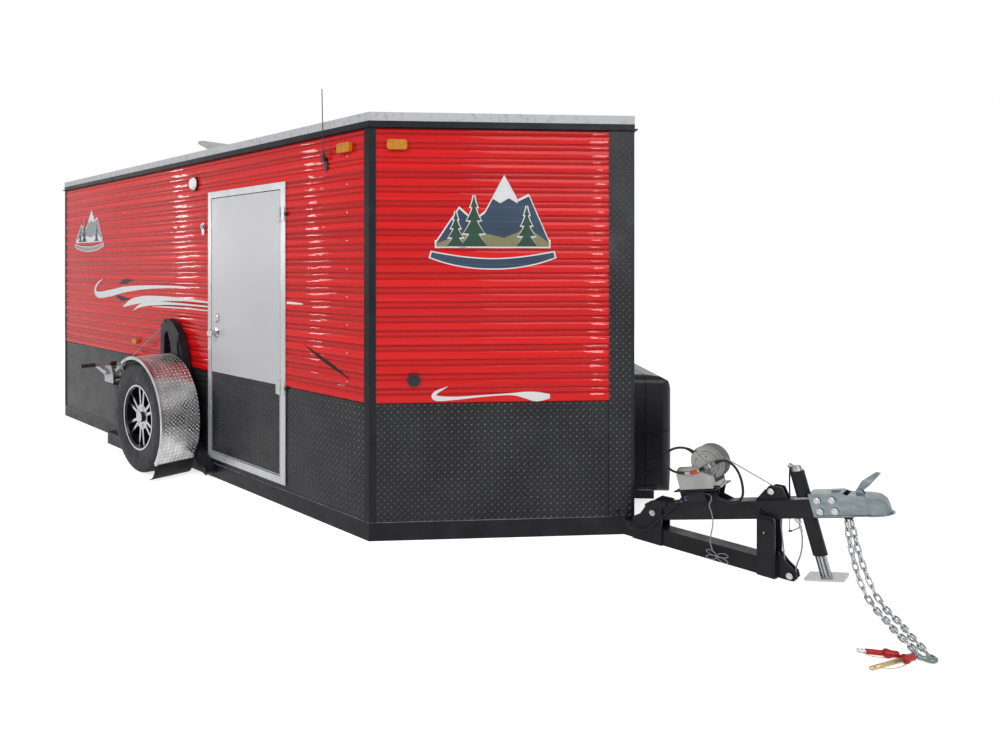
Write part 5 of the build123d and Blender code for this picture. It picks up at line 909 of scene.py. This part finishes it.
for side_name, side in (("near", -1), ("far", 1)):
    bolt(f"top_sheave_{side_name}", TOP_SHEAVE + (0, side * TOP_SHEAVE_FACE, 0), side)
    bolt(f"lower_sheave_{side_name}", LOWER_SHEAVE + (0, side * LOWER_SHEAVE_FACE, 0), side, "house")
for number, (along, up) in enumerate(((0.735, 0.034), (0.790, 0.034), (0.735, -0.010), (0.790, -0.010))):
    for kind, side in (("bolt", -1), ("nut", 1)):
        bolt(f"coupler_{kind}_{number + 1}", on_beam(along, up, side * COUPLER_SIDE), side)
bolt("rope_anchor", on_beam(0.628, -0.052, -0.005), -1)
lathe("rope_clamp", CLAMP, (3.6560, 0.0, 0.2400), (0.0065, 0, -0.026), BRIGHT_ZINC, "tongue", "winch_zinc")

# --- raised bars of the tread plate ---------------------------------------
BAR_STEP, BAR_HALF_LENGTH, BAR_HALF_WIDTH, BAR_RISE, BAR_SINK = 0.0165, 0.0100, 0.0026, 0.0014, -0.0003
BAR_REACH = 0.75  # about the share of its half length that a bar, turned by an eighth, reaches each way


def bar_shape(size=1.0):
    """A long low mound: a ridge over a lens outline, its two tips drawn to a point."""
    stations = np.array([-0.55, 0.0, 0.55])
    width = BAR_HALF_WIDTH * np.sqrt(1 - stations**2)
    rows = [np.stack([stations * BAR_HALF_LENGTH, sign * width, lift + 0 * width], axis=-1)
            for sign, lift in ((1, BAR_SINK), (0, BAR_RISE), (-1, BAR_SINK))]
    tips = [(-BAR_HALF_LENGTH, 0, BAR_SINK), (BAR_HALF_LENGTH, 0, BAR_SINK)]
    faces = [(9, 3, 0), (9, 6, 3), (0, 3, 4), (0, 4, 1), (1, 4, 5), (1, 5, 2), (3, 6, 7), (3, 7, 4),
             (4, 7, 8), (4, 8, 5), (2, 5, 10), (5, 8, 10)]
    return np.concatenate([*rows, tips]) * size, np.array(faces)


def tread_bars(name, width, height, lay, keep=None, finish=None, body="house", slot="tread_plate_black",
               size=1.0):
    """Bars on a chequered lattice, turned one way in even columns and the other in odd ones, on a surface."""
    step, reach = BAR_STEP * size, BAR_HALF_LENGTH * size * BAR_REACH
    columns, rows = np.meshgrid(np.arange(int(width / step) + 1), np.arange(int(height / step) + 1))
    chosen = (columns + rows) % 2 == 0
    columns, rows = columns[chosen], rows[chosen]
    across, up = (columns + 0.5) * step, (rows + 0.5) * step
    kept = (across < width - reach) & (up < height - reach)
    if keep:
        kept &= keep(across, up)
    across, up, columns = across[kept], up[kept], columns[kept]
    turn = np.where(columns % 2 == 0, np.pi / 4, -np.pi / 4)
    zero = np.zeros_like(turn)
    places = np.stack([np.stack([across, up, zero], axis=-1),
                       np.stack([np.cos(turn), np.sin(turn), zero], axis=-1),
                       np.stack([-np.sin(turn), np.cos(turn), zero], axis=-1),
                       np.stack([zero, zero, zero + 1], axis=-1)], axis=1)
    flat, faces = copies(*bar_shape(size), places)
    points = lay(flat[..., 0], flat[..., 1], flat[..., 2])
    return piece(name, points, faces[:, ::-1], finish or BAR_BLACK, body, slot, smooth=False)


def lay_on_wall(wall, start, out):
    """Lays flat places on a wall, from a start along it and from the rail's top upwards."""
    return lambda u, v, w: on_wall(wall, u + start, v + RAIL_TOP, w + out)


def clear_of_door(across, up):
    """True beside the doorway, with the distance along the right wall counted from the rear corner's trim."""
    along = across + REAR_END + TRIM_LEG
    return (along < door_low.x - BAR_STEP) | (along > door_high.x + BAR_STEP)


BAR_BLACK = black_tread_plate("black_tread_bars", (0.020, 0.021, 0.023), (0.045, 0.047, 0.050), 0.6)
skirt_height = SIDING_FOOT - RAIL_TOP
door_low, door_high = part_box("door_frame")
for name, wall, first, last, keep in (("right", RIGHT_SIDE, TRIM_LEG, TRIM_LEG, clear_of_door),
                                      ("left", LEFT_SIDE, TRIM_LEG, TRIM_LEG, None),
                                      ("right_nose", RIGHT_NOSE, TRIM_LEG, CAP_LEG, None),
                                      ("left_nose", LEFT_NOSE, CAP_LEG, TRIM_LEG, None),
                                      ("rear", REAR, TRIM_LEG, TRIM_LEG, None)):
    tread_bars(f"{name}_skirt_bars", wall_length(wall) - first - last, skirt_height,
               lay_on_wall(wall, first, -SKIRT_FACE), keep)
for name, wall, start in (("right", RIGHT_NOSE, wall_length(RIGHT_NOSE) - CAP_LEG), ("left", LEFT_NOSE, 0.0)):
    tread_bars(f"{name}_nose_cap_bars", CAP_LEG, SIDING_TOP - RAIL_TOP, lay_on_wall(wall, start, CAP_OUT))
kick_low, kick_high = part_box("door_kick_panel")
kick_width, kick_height = kick_high.x - kick_low.x, kick_high.z - kick_low.z
HINGE_CUT_WIDTH, HINGE_CUT_HEIGHT = 0.06, 0.11


def clear_of_hinge(across, up):
    """True away from the lower hinge's cut-out at the panel's front edge."""
    return (across < kick_width - HINGE_CUT_WIDTH) | (up < kick_height - HINGE_CUT_HEIGHT)


tread_bars("kick_panel_bars", kick_width, kick_height,
           lambda u, v, w: np.stack([kick_low.x + u, kick_low.y - w, kick_low.z + v], axis=-1),
           clear_of_hinge, body="door")
SPINDLE = (0.126, 0.357)
FENDER_RADIUS, FENDER_FROM, FENDER_TO = 0.392, math.radians(-39), math.radians(120)
FENDER_INNER, FENDER_OUTER, FENDER_LIP = 1.060, 1.314, 0.014
FENDER_BAR_SIZE = 0.78
BAR_ALUMINIUM = bright_aluminium("bright_tread_bars", (0.86, 0.86, 0.87), (0.68, 0.68, 0.69), 0.14, 0.26)


def round_fender(side):
    """Lays flat places on the fender: one way is the arc round the spindle, the other runs outwards."""
    def lay(u, v, w):
        angle, reach = FENDER_FROM + v / FENDER_RADIUS, FENDER_RADIUS + w
        return np.stack([SPINDLE[0] + reach * np.cos(angle), side * (FENDER_INNER + u) + 0 * v,
                         SPINDLE[1] + reach * np.sin(angle)], axis=-1)
    return lay


for name, side in SIDES:
    tread_bars(f"{name}_fender_bars", FENDER_OUTER - FENDER_INNER - FENDER_LIP,
               (FENDER_TO - FENDER_FROM) * FENDER_RADIUS, round_fender(side), finish=BAR_ALUMINIUM,
               body=f"{name}_arm", slot="fender_tread_plate", size=FENDER_BAR_SIZE)

# --- tyres ----------------------------------------------------------------
BEAD_RADIUS = 0.203
# Half the carcass, from its bead to the tread: shares of its half width and of its height over the bead.
CARCASS = np.array([(0.79, 0), (0.93, 0.13), (1.0, 0.42), (1.0, 0.62), (0.95, 0.86), (0.83, 0.965)])
GROOVES = np.array([-0.052, -0.018, 0.018, 0.052])
TREAD_HALF, GROOVE_HALF, GROOVE_DEPTH = 0.088, 0.0045, 0.007
SLOT_COUNT, SLOT_HALF, SLOT_INNER, SLOT_FOOT, SLOT_DEPTH = 64, 0.17, 0.056, 0.052, 1.2
SLOT_SWEEP, SLOT_LEAN = 9.0, 4.0
TREAD_SWELL, TREAD_EDGE, TREAD_FOOT, FLANK_TOP = 1.004, 0.0012, 0.055, 0.03
RINGS, RING_RISE = ((0.11, 0.0016), (0.030, 0.002)), 0.0018


def tyre_points(side):
    """A tyre's outer skin: the carcass profile turned round the axle, less its ring grooves and cross slots.
    A running mean softens the profile's corners, and two fine rings stand up from its flank."""
    low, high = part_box("right_tyre")
    middle_y, half, radius = side * abs(low.y + high.y) / 2, (high.y - low.y) / 2, (high.z - low.z) / 2
    turn = full_turn(512)[:, None]
    across = np.concatenate([-CARCASS[:, 0], [0.0], CARCASS[::-1, 0]]) * half
    out = np.concatenate([CARCASS[:, 1], [1.0], CARCASS[::-1, 1]]) * (radius - BEAD_RADIUS) + BEAD_RADIUS
    fine, key, soft = np.linspace(0, 1, 121), np.linspace(0, 1, len(out)), np.hanning(9) / np.hanning(9).sum()
    y, r = (np.convolve(np.pad(np.interp(fine, key, line), 4, "edge"), soft, "valid")
            for line in (across, out))
    r = np.minimum(r * TREAD_SWELL, radius)
    ring = sum(np.exp(-((r - BEAD_RADIUS - height) / half_width) ** 2) for height, half_width in RINGS)
    tread = 1 / (1 + np.exp((np.abs(y) - TREAD_HALF) / TREAD_EDGE))
    grooves = np.max(np.exp(-((y[:, None] - GROOVES) / GROOVE_HALF) ** 6), axis=1)
    phase = turn * SLOT_COUNT / (2 * np.pi) + SLOT_SWEEP * np.abs(y) + SLOT_LEAN * y
    slots = np.exp(-((np.mod(phase, 1.0) - 0.5) / SLOT_HALF) ** 6) * (np.abs(y) > SLOT_INNER)
    slots = slots * (r > radius - SLOT_FOOT)
    cut = GROOVE_DEPTH * np.maximum(grooves * tread, SLOT_DEPTH * slots) * (r > radius - TREAD_FOOT)
    reach = r - (cut - RING_RISE * ring * (r < radius - FLANK_TOP))
    return np.stack([SPINDLE[0] + reach * np.cos(turn), side * y + middle_y + 0 * turn,
                     SPINDLE[1] + reach * np.sin(turn)], axis=-1)


for name, side in SIDES:
    skin = tyre_points(side)
    faces = grid_faces(*skin.shape[:2], closed_rows=True)
    tyre = piece(f"{name}_tyre_tread", skin, faces if side > 0 else faces[:, ::-1], TYRE, f"{name}_wheel",
                 "tyre_rubber")
    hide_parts(f"{name}_tyre")

# --- stripes and emblems on the siding ------------------------------------
RIB_HEIGHTS = np.array([0.0, 0.005, 0.041, 0.046, 0.051, 0.066, 0.0708])
RIB_DEPTHS = np.array([0.0035, 0.0, 0.0, 0.0035, 0.0012, 0.0012, 0.0035])
VINYL_LIFT, VINYL_BRIDGE, SHEET_STEP, RIBBON_LEAST, PEAK_SWELL = 0.0007, 0.0025, 0.0022, 0.0004, 1.6
RIBBON_ROWS, RIBBON_COLUMNS, PINE_ROWS, PINE_COLUMNS = 21, 200, 96, 17
PINE_TIERS, PINE_SPREAD, PINE_TIP = 3.999, 0.22, 0.002  # just under four tiers, so that no fifth one starts


def siding_depth(height):
    """How far the siding lies inside its crown at one height: the rib's outline, repeated."""
    return np.interp(np.mod(height - SIDING_FOOT, RIB_PITCH), RIB_HEIGHTS, RIB_DEPTHS)


def vinyl_depth(height):
    """The siding's depth as vinyl takes it: its least within a short reach, evened over the same reach."""
    reach, steps = np.linspace(-VINYL_BRIDGE, VINYL_BRIDGE, 7), np.arange(0.0, RIB_PITCH, 0.0005)
    least = siding_depth(SIDING_FOOT + steps[:, None] + reach).min(axis=1)
    return np.mean([np.interp(height - SIDING_FOOT + step, steps, least, period=RIB_PITCH) for step in reach],
                   axis=0)


def vinyl_piece(name, wall, along, height, layer, faces, finish, merge=False):
    """Vinyl that follows the ribs, a small lift out from them for each layer that is under it."""
    points = on_wall(wall, along, height, VINYL_LIFT * layer - vinyl_depth(height))
    return piece(name, points, faces, finish, "house", "siding_paint", merge=merge)


def pine(name, wall, foot_along, foot, tall, finish, swell, layer):
    """Pine tree: its half width grows down each of four tiers and steps in again at the next."""
    share = np.linspace(0, 1, PINE_ROWS)[:, None]
    tier = np.mod(share * PINE_TIERS, 1.0)
    spread = (PINE_SPREAD * (1 - share) * (1.25 - 0.75 * tier) + PINE_TIP) * tall + swell
    side = np.linspace(-1, 1, PINE_COLUMNS)[None, :]
    height = foot + tall * share * (1 + 2 * swell) - swell + 0 * side
    faces = grid_faces(PINE_ROWS, PINE_COLUMNS)
    return vinyl_piece(name, wall, foot_along + spread * side, height, layer, faces, finish)


def smooth_run(values, count):
    """Values at even steps of a smooth curve through a few given ones: Catmull and Rom's cubic spans."""
    values = np.asarray(values, float)
    padded = np.concatenate([[2 * values[0] - values[1]], values, [2 * values[-1] - values[-2]]])
    place = np.linspace(0, len(values) - 1, count)
    span = np.minimum(place.astype(int), len(values) - 2)
    t = (place - span).reshape(-1, *([1] * (values.ndim - 1)))
    a, b, c, d = (padded[span + step] for step in range(4))
    return 0.5 * (2 * b + (c - a) * t + (2 * a - 5 * b + 4 * c - d) * t**2 + (3 * b - a - 3 * c + d) * t**3)


def swoosh(name, wall, route, widths, finish, layer=1.0):
    """Ribbon carried along a smooth run of places on a wall, as wide at each of them as given."""
    middle = smooth_run(route, RIBBON_COLUMNS)
    half = np.maximum(smooth_run(widths, RIBBON_COLUMNS), RIBBON_LEAST)[:, None] / 2
    tangent = units(np.gradient(middle, axis=0))
    across = np.stack([-tangent[:, 1], tangent[:, 0]], axis=-1)
    side = np.linspace(-1, 1, RIBBON_ROWS)[:, None, None]
    flat = middle + side * half * across
    faces = grid_faces(RIBBON_ROWS, RIBBON_COLUMNS)[:, ::-1]
    return vinyl_piece(name, wall, flat[..., 0], flat[..., 1], layer, faces, finish)


def ridge(name, wall, along, foot, peaks, finish, layer, swell=0.0):
    """Skyline: a sheet of vinyl between its foot line and straight slopes from peak to dip. Its rows lie at
    heights that all sheets share, drawn in to its foot and top, so that no sheet cuts the next."""
    places = np.linspace(along[0] - swell, along[-1] + swell, 120)
    top, low = (np.interp(places, along, np.broadcast_to(line, len(along))) for line in (peaks, foot))
    top, low = top + PEAK_SWELL * swell, low - swell
    rows = SHEET_STEP * np.arange(math.floor(low.min() / SHEET_STEP), math.ceil(top.max() / SHEET_STEP) + 1)
    height = np.clip(rows[:, None], low, top)
    faces = grid_faces(*height.shape)
    return vinyl_piece(name, wall, places + 0 * height, height, layer, faces, finish, merge=True)


for name, route, widths, finish, layer in (
        ("side_swoosh_upper",
         ((-1.19, 1.236), (-1.30, 1.190), (-1.345, 1.135), (-1.27, 1.104), (-1.05, 1.122), (-0.75, 1.160),
          (-0.35, 1.186), (0.10, 1.196), (0.256, 1.193)),
         (0.004, 0.020, 0.034, 0.050, 0.054, 0.044, 0.026, 0.014, 0.002), VINYL_WHITE, 2.0),
        ("side_accent_upper", ((-0.88, 1.200), (-0.77, 1.220), (-0.62, 1.234)), (0.004, 0.036, 0.004),
         VINYL_BLACK, 1.0),
        ("side_accent_lower", ((-0.95, 1.112), (-0.83, 1.090), (-0.68, 1.086)), (0.004, 0.036, 0.004),
         VINYL_BLACK, 1.0),
        ("side_swoosh_lower",
         ((-0.80, 1.022), (-0.66, 1.064), (-0.45, 1.092), (-0.15, 1.108), (0.20, 1.112), (0.495, 1.106)),
         (0.004, 0.044, 0.050, 0.036, 0.018, 0.010), VINYL_WHITE, 2.0),
        ("side_swoosh_fork", ((-0.62, 1.002), (-0.48, 1.048), (-0.25, 1.072), (0.10, 1.080), (0.495, 1.078)),
         (0.002, 0.026, 0.028, 0.014, 0.008), VINYL_WHITE, 3.0),
        ("side_swoosh_line", ((-0.30, 1.046), (-0.05, 1.052), (0.25, 1.054), (0.495, 1.052)),
         (0.002, 0.010, 0.008, 0.006), VINYL_WHITE, 1.0),
        ("side_stripe_front", ((1.352, 1.136), (1.42, 1.135), (1.500, 1.134)), (0.013, 0.013, 0.006),
         VINYL_WHITE, 1.0),
        ("side_slash_front", ((1.515, 0.918), (1.62, 0.872), (1.76, 0.822), (1.895, 0.768)),
         (0.002, 0.016, 0.020, 0.002), VINYL_BLACK, 1.0)):
    swoosh(name, RIGHT_SIDE, np.array(route) - np.array([REAR_END, 0.0]), widths, finish, layer)
swoosh("nose_swoosh", RIGHT_NOSE,
       ((0.385, 0.748), (0.325, 0.716), (0.330, 0.692), (0.42, 0.690), (0.56, 0.700), (0.70, 0.707),
        (0.77, 0.702), (0.83, 0.693), (0.895, 0.694)),
       (0.002, 0.018, 0.026, 0.016, 0.009, 0.010, 0.032, 0.046, 0.022), VINYL_WHITE)


def emblem(name, wall, left, right, foot, size, colours):
    """Two peaks and three pines on one foot line, with a plain bowed band under them."""
    edge, far, near, tree = colours
    width = right - left
    slopes = np.array([0.0, 0.20, 0.33, 0.43, 0.60, 0.72, 0.82, 1.0]) * width + left
    peaks = foot + size * np.array([0.05, 0.52, 0.34, 0.46, 0.96, 0.62, 0.70, 0.06])
    hills = foot + size * np.array([0.04, 0.16, 0.22, 0.18, 0.12, 0.20, 0.26, 0.05])
    ridge(f"{name}_skyline_edge", wall, slopes, foot, peaks, edge, 1.0, 0.008)
    ridge(f"{name}_skyline", wall, slopes, foot, peaks, far, 2.0)
    fine = np.linspace(slopes[3], slopes[5], 241)
    top = np.interp(fine, slopes, peaks)
    hem = foot + size * (0.60 + 0.07 * np.abs(np.mod(fine / width * 13, 2) - 1))
    snowy = top > hem
    ridge(f"{name}_snow", wall, fine[snowy], hem[snowy], top[snowy], edge, 3.0)
    ridge(f"{name}_hill", wall, slopes, foot, hills, near, 4.0)
    for number, (share, tall) in enumerate(((0.17, 0.50), (0.33, 0.72), (0.80, 0.58))):
        place, tall = left + share * width, size * tall
        pine(f"{name}_pine_edge_{number + 1}", wall, place, foot, tall, edge, 0.007, 5.0)
        pine(f"{name}_pine_{number + 1}", wall, place, foot, tall, tree, 0.0, 6.0)
    band = np.array([0.66, 0.86, 0.96, 1.0, 1.0, 1.0, 0.96, 0.86, 0.66]) * size * 0.16
    for part, reach, rim, finish, layer in (("band_edge", 1.0, 0.0, edge, 1.0),
                                            ("band", 0.975, 0.012, far, 2.0)):
        turn = np.linspace(-reach, reach, 9)
        along, height = (left + right) / 2 + 0.56 * width * turn, foot + size * (0.13 * turn**2 - 0.24)
        bow = np.stack([along, height], axis=-1)
        swoosh(f"{name}_{part}", wall, bow, band - rim, finish, layer)


emblem("nose_emblem", RIGHT_NOSE, 0.33, 0.89, 1.435, 0.355,
       (VINYL_WHITE, VINYL_BLUE, VINYL_OLIVE, VINYL_GREEN))
emblem("side_emblem", RIGHT_SIDE, -1.76 - REAR_END, -1.20 - REAR_END, 1.545, 0.265,
       (VINYL_WHITE, VINYL_GREY, VINYL_WHITE, VINYL_BLUE))

# --- bead, door stops and screws ------------------------------------------
BEAD = 0.0022
KNOB = ((0, -0.002), (0.009, -0.002), (0.010, 0.001), (0.010, 0.010), (0.008, 0.013), (0, 0.013))
SCREW_CAP = ((0.0040, 0.0), (0.0038, 0.0010), (0.0024, 0.0018), (0.0, 0.0021))
KNOB_HEIGHTS, KNOB_BEYOND_DOOR, BEAD_SINK = (0.660, 1.628), 0.011, -0.0005
TRIM_SCREW_FOOT, TRIM_SCREW_STEP, RIB_SCREW_RISE = 0.06, 0.24, 0.023
CAP_SCREW_IN, FLANGE_SCREW_IN = 0.012, 0.011
for name, wall in (("right", RIGHT_SIDE), ("right_nose", RIGHT_NOSE), ("left_nose", LEFT_NOSE),
                   ("left", LEFT_SIDE), ("rear", REAR)):
    ends = on_wall(wall, np.linspace(0, wall_length(wall), 3), RAIL_TOP + BEAD, BEAD_SINK)
    rod(f"{name}_skirt_bead", ends, BEAD, BEAD_SEAL, "house", "tread_plate_black", 10, (0, 0, 1))
for number, height in enumerate(KNOB_HEIGHTS):
    foot = (door_high.x + KNOB_BEYOND_DOOR, -HALF_WIDTH, height)
    lathe(f"door_stop_{number + 1}", KNOB, foot, (0, -1, 0), CORD, "house", "fitting_plastic", 20)


def screw_heads(name, wall, along, up, out, finish, slot):
    """Low domed heads, each a small turned cap at its spot, facing out of its wall."""
    shape, faces = turned(SCREW_CAP, (0, 0, 0), (0, 0, 1), 8)
    spots, run = on_wall(wall, along, up, out), wall_run(wall)
    way, rise = unit((run[1], -run[0])), np.broadcast_to((0.0, 0.0, 1.0), spots.shape)
    places = np.stack([spots, np.cross(rise, way), rise, np.broadcast_to(way, spots.shape)], axis=1)
    return piece(name, *copies(shape.reshape(-1, 3), faces, places), finish, "house", slot, merge=True)


for name, wall, columns in (("right", RIGHT_SIDE, (0.45, 1.25, 2.05, 3.90)),
                            ("left", LEFT_SIDE, (0.20, 1.25, 2.05, 2.85, 3.65)),
                            ("rear", REAR, (0.30, 0.99, 1.68))):
    heights = SIDING_FOOT + RIB_PITCH * np.arange(1, RIB_COUNT, 2) + RIB_SCREW_RISE
    along, up = (grid.ravel() for grid in np.meshgrid(columns, heights))
    screw_heads(f"{name}_siding_screws", wall, along, up, 0.0, BRIGHT_ZINC, "siding_paint")
side_far_trim = wall_length(RIGHT_SIDE) - TRIM_LEG / 2
for name, wall, along, out in (
        ("right", RIGHT_SIDE, side_far_trim, TRIM_OUT), ("right_nose", RIGHT_NOSE, TRIM_LEG / 2, TRIM_OUT),
        ("right_rear", RIGHT_SIDE, TRIM_LEG / 2, TRIM_OUT),
        ("right_cap", RIGHT_NOSE, wall_length(RIGHT_NOSE) - CAP_LEG + CAP_SCREW_IN, CAP_OUT),
        ("left_cap", LEFT_NOSE, CAP_LEG - CAP_SCREW_IN, CAP_OUT),
        ("left", LEFT_SIDE, TRIM_LEG / 2, TRIM_OUT), ("left_rear", LEFT_SIDE, side_far_trim, TRIM_OUT)):
    up = np.arange(RAIL_TOP + TRIM_SCREW_FOOT, SIDING_TOP, TRIM_SCREW_STEP)
    screw_heads(f"{name}_trim_screws", wall, along + 0 * up, up, out, BLACK_FRAME, "tread_plate_black")
sill = np.arange(door_low.x + 0.06, door_high.x - 0.03, 0.15)
post = np.arange(door_low.z + 0.10, door_high.z - 0.03, 0.20)
flange = np.concatenate([np.stack([sill, 0 * sill + door_low.z + FLANGE_SCREW_IN], axis=-1),
                         np.stack([sill, 0 * sill + door_high.z - FLANGE_SCREW_IN], axis=-1),
                         np.stack([0 * post + door_low.x + FLANGE_SCREW_IN, post], axis=-1),
                         np.stack([0 * post + door_high.x - FLANGE_SCREW_IN, post], axis=-1)])
screw_heads("door_frame_screws", RIGHT_SIDE, flange[:, 0] - REAR_END, flange[:, 1], FLANGE_OUT, BRIGHT_ZINC,
            "door_paint")

# --- floor, backdrop and light --------------------------------------------
FLOOR_HALF, FLOOR_GLOW, WORLD_LIGHT = 60.0, 0.72, 0.36
GLINT_SIZE, GLINT_WATTS = (0.10, 0.9), 7.0
WHITE = (1, 1, 1, 1)


def seen_directly(tree):
    """1 for rays straight from the camera, off glossy surfaces or through clear ones, and 0 for the rest."""
    path = tree.nodes.new("ShaderNodeLightPath").outputs
    total = path["Is Camera Ray"]
    for other in ("Is Glossy Ray", "Is Transmission Ray"):
        total = add_node(tree, "ShaderNodeMath", {0: total, 1: path[other]}, operation="MAXIMUM")
    return total


def white_world():
    """White where it is seen, and an even soft grey as light."""
    world = bpy.data.worlds.new("studio")
    bpy.context.scene.world = world
    world.use_nodes = True
    tree = world.node_tree
    light = tree.nodes["Background"]
    light.inputs["Color"].default_value = (0.97, 0.985, 1.0, 1.0)
    light.inputs["Strength"].default_value = WORLD_LIGHT
    backdrop = add_node(tree, "ShaderNodeBackground", {"Color": WHITE, "Strength": 1.0})
    mix = add_node(tree, "ShaderNodeMixShader", {0: seen_directly(tree), 1: light.outputs[0], 2: backdrop})
    tree.links.new(mix, tree.nodes["World Output"].inputs["Surface"])


def pale_floor():
    """Pale floor that takes the shadow and adds a little white where it is seen."""
    floor = Finish("pale_floor", (0.86, 0.86, 0.86), 0.9, Specular_IOR_Level=0.0, Emission_Color=WHITE)
    floor.feed("Emission Strength", floor.maths("MULTIPLY", seen_directly(floor.tree), FLOOR_GLOW))
    corners = [(x * FLOOR_HALF, y * FLOOR_HALF, 0.0) for x, y in ((-1, -1), (1, -1), (1, 1), (-1, 1))]
    piece("floor", corners, [(0, 1, 2, 3)], floor, None, smooth=False)


def soft_box(name, place, aim, size, watts):
    """Soft light at a place, turned to look at a point; its size is its width and its height."""
    lamp = bpy.data.lights.new(name, "AREA")
    lamp.shape, lamp.size, lamp.size_y, lamp.energy = "RECTANGLE", *size, watts
    holder = bpy.data.objects.new(name, lamp)
    holder.location = place
    way = [a - p for a, p in zip(aim, place)]
    holder.rotation_euler = (math.atan2(math.hypot(way[0], way[1]), -way[2]), 0,
                             math.atan2(way[1], way[0]) - math.pi / 2)
    bpy.context.scene.collection.objects.link(holder)


white_world()
pale_floor()
for name, place, aim, size, watts in (
        ("key", (3.0, -7.0, 5.5), (1.0, -1.0, 1.0), (4.0, 4.0), 240.0),
        ("fill", (8.5, -2.5, 4.5), (2.5, -0.5, 1.0), (3.0, 3.0), 122.0),
        ("far_fill", (-5.5, 6.5, 5.0), (-0.5, 1.0, 1.0), (4.0, 4.0), 200.0),
        ("side_front_glint", (-0.995, -3.009, 1.7), (1.615, -0.99, 1.4), GLINT_SIZE, GLINT_WATTS),
        ("side_rear_glint", (-2.757, -2.507, 1.7), (0.174, -0.99, 1.4), GLINT_SIZE, GLINT_WATTS),
        ("nose_glint", (5.868, -1.363, 1.7), (2.807, -0.132, 1.4), GLINT_SIZE, GLINT_WATTS)):
    soft_box(name, place, aim, size, watts)
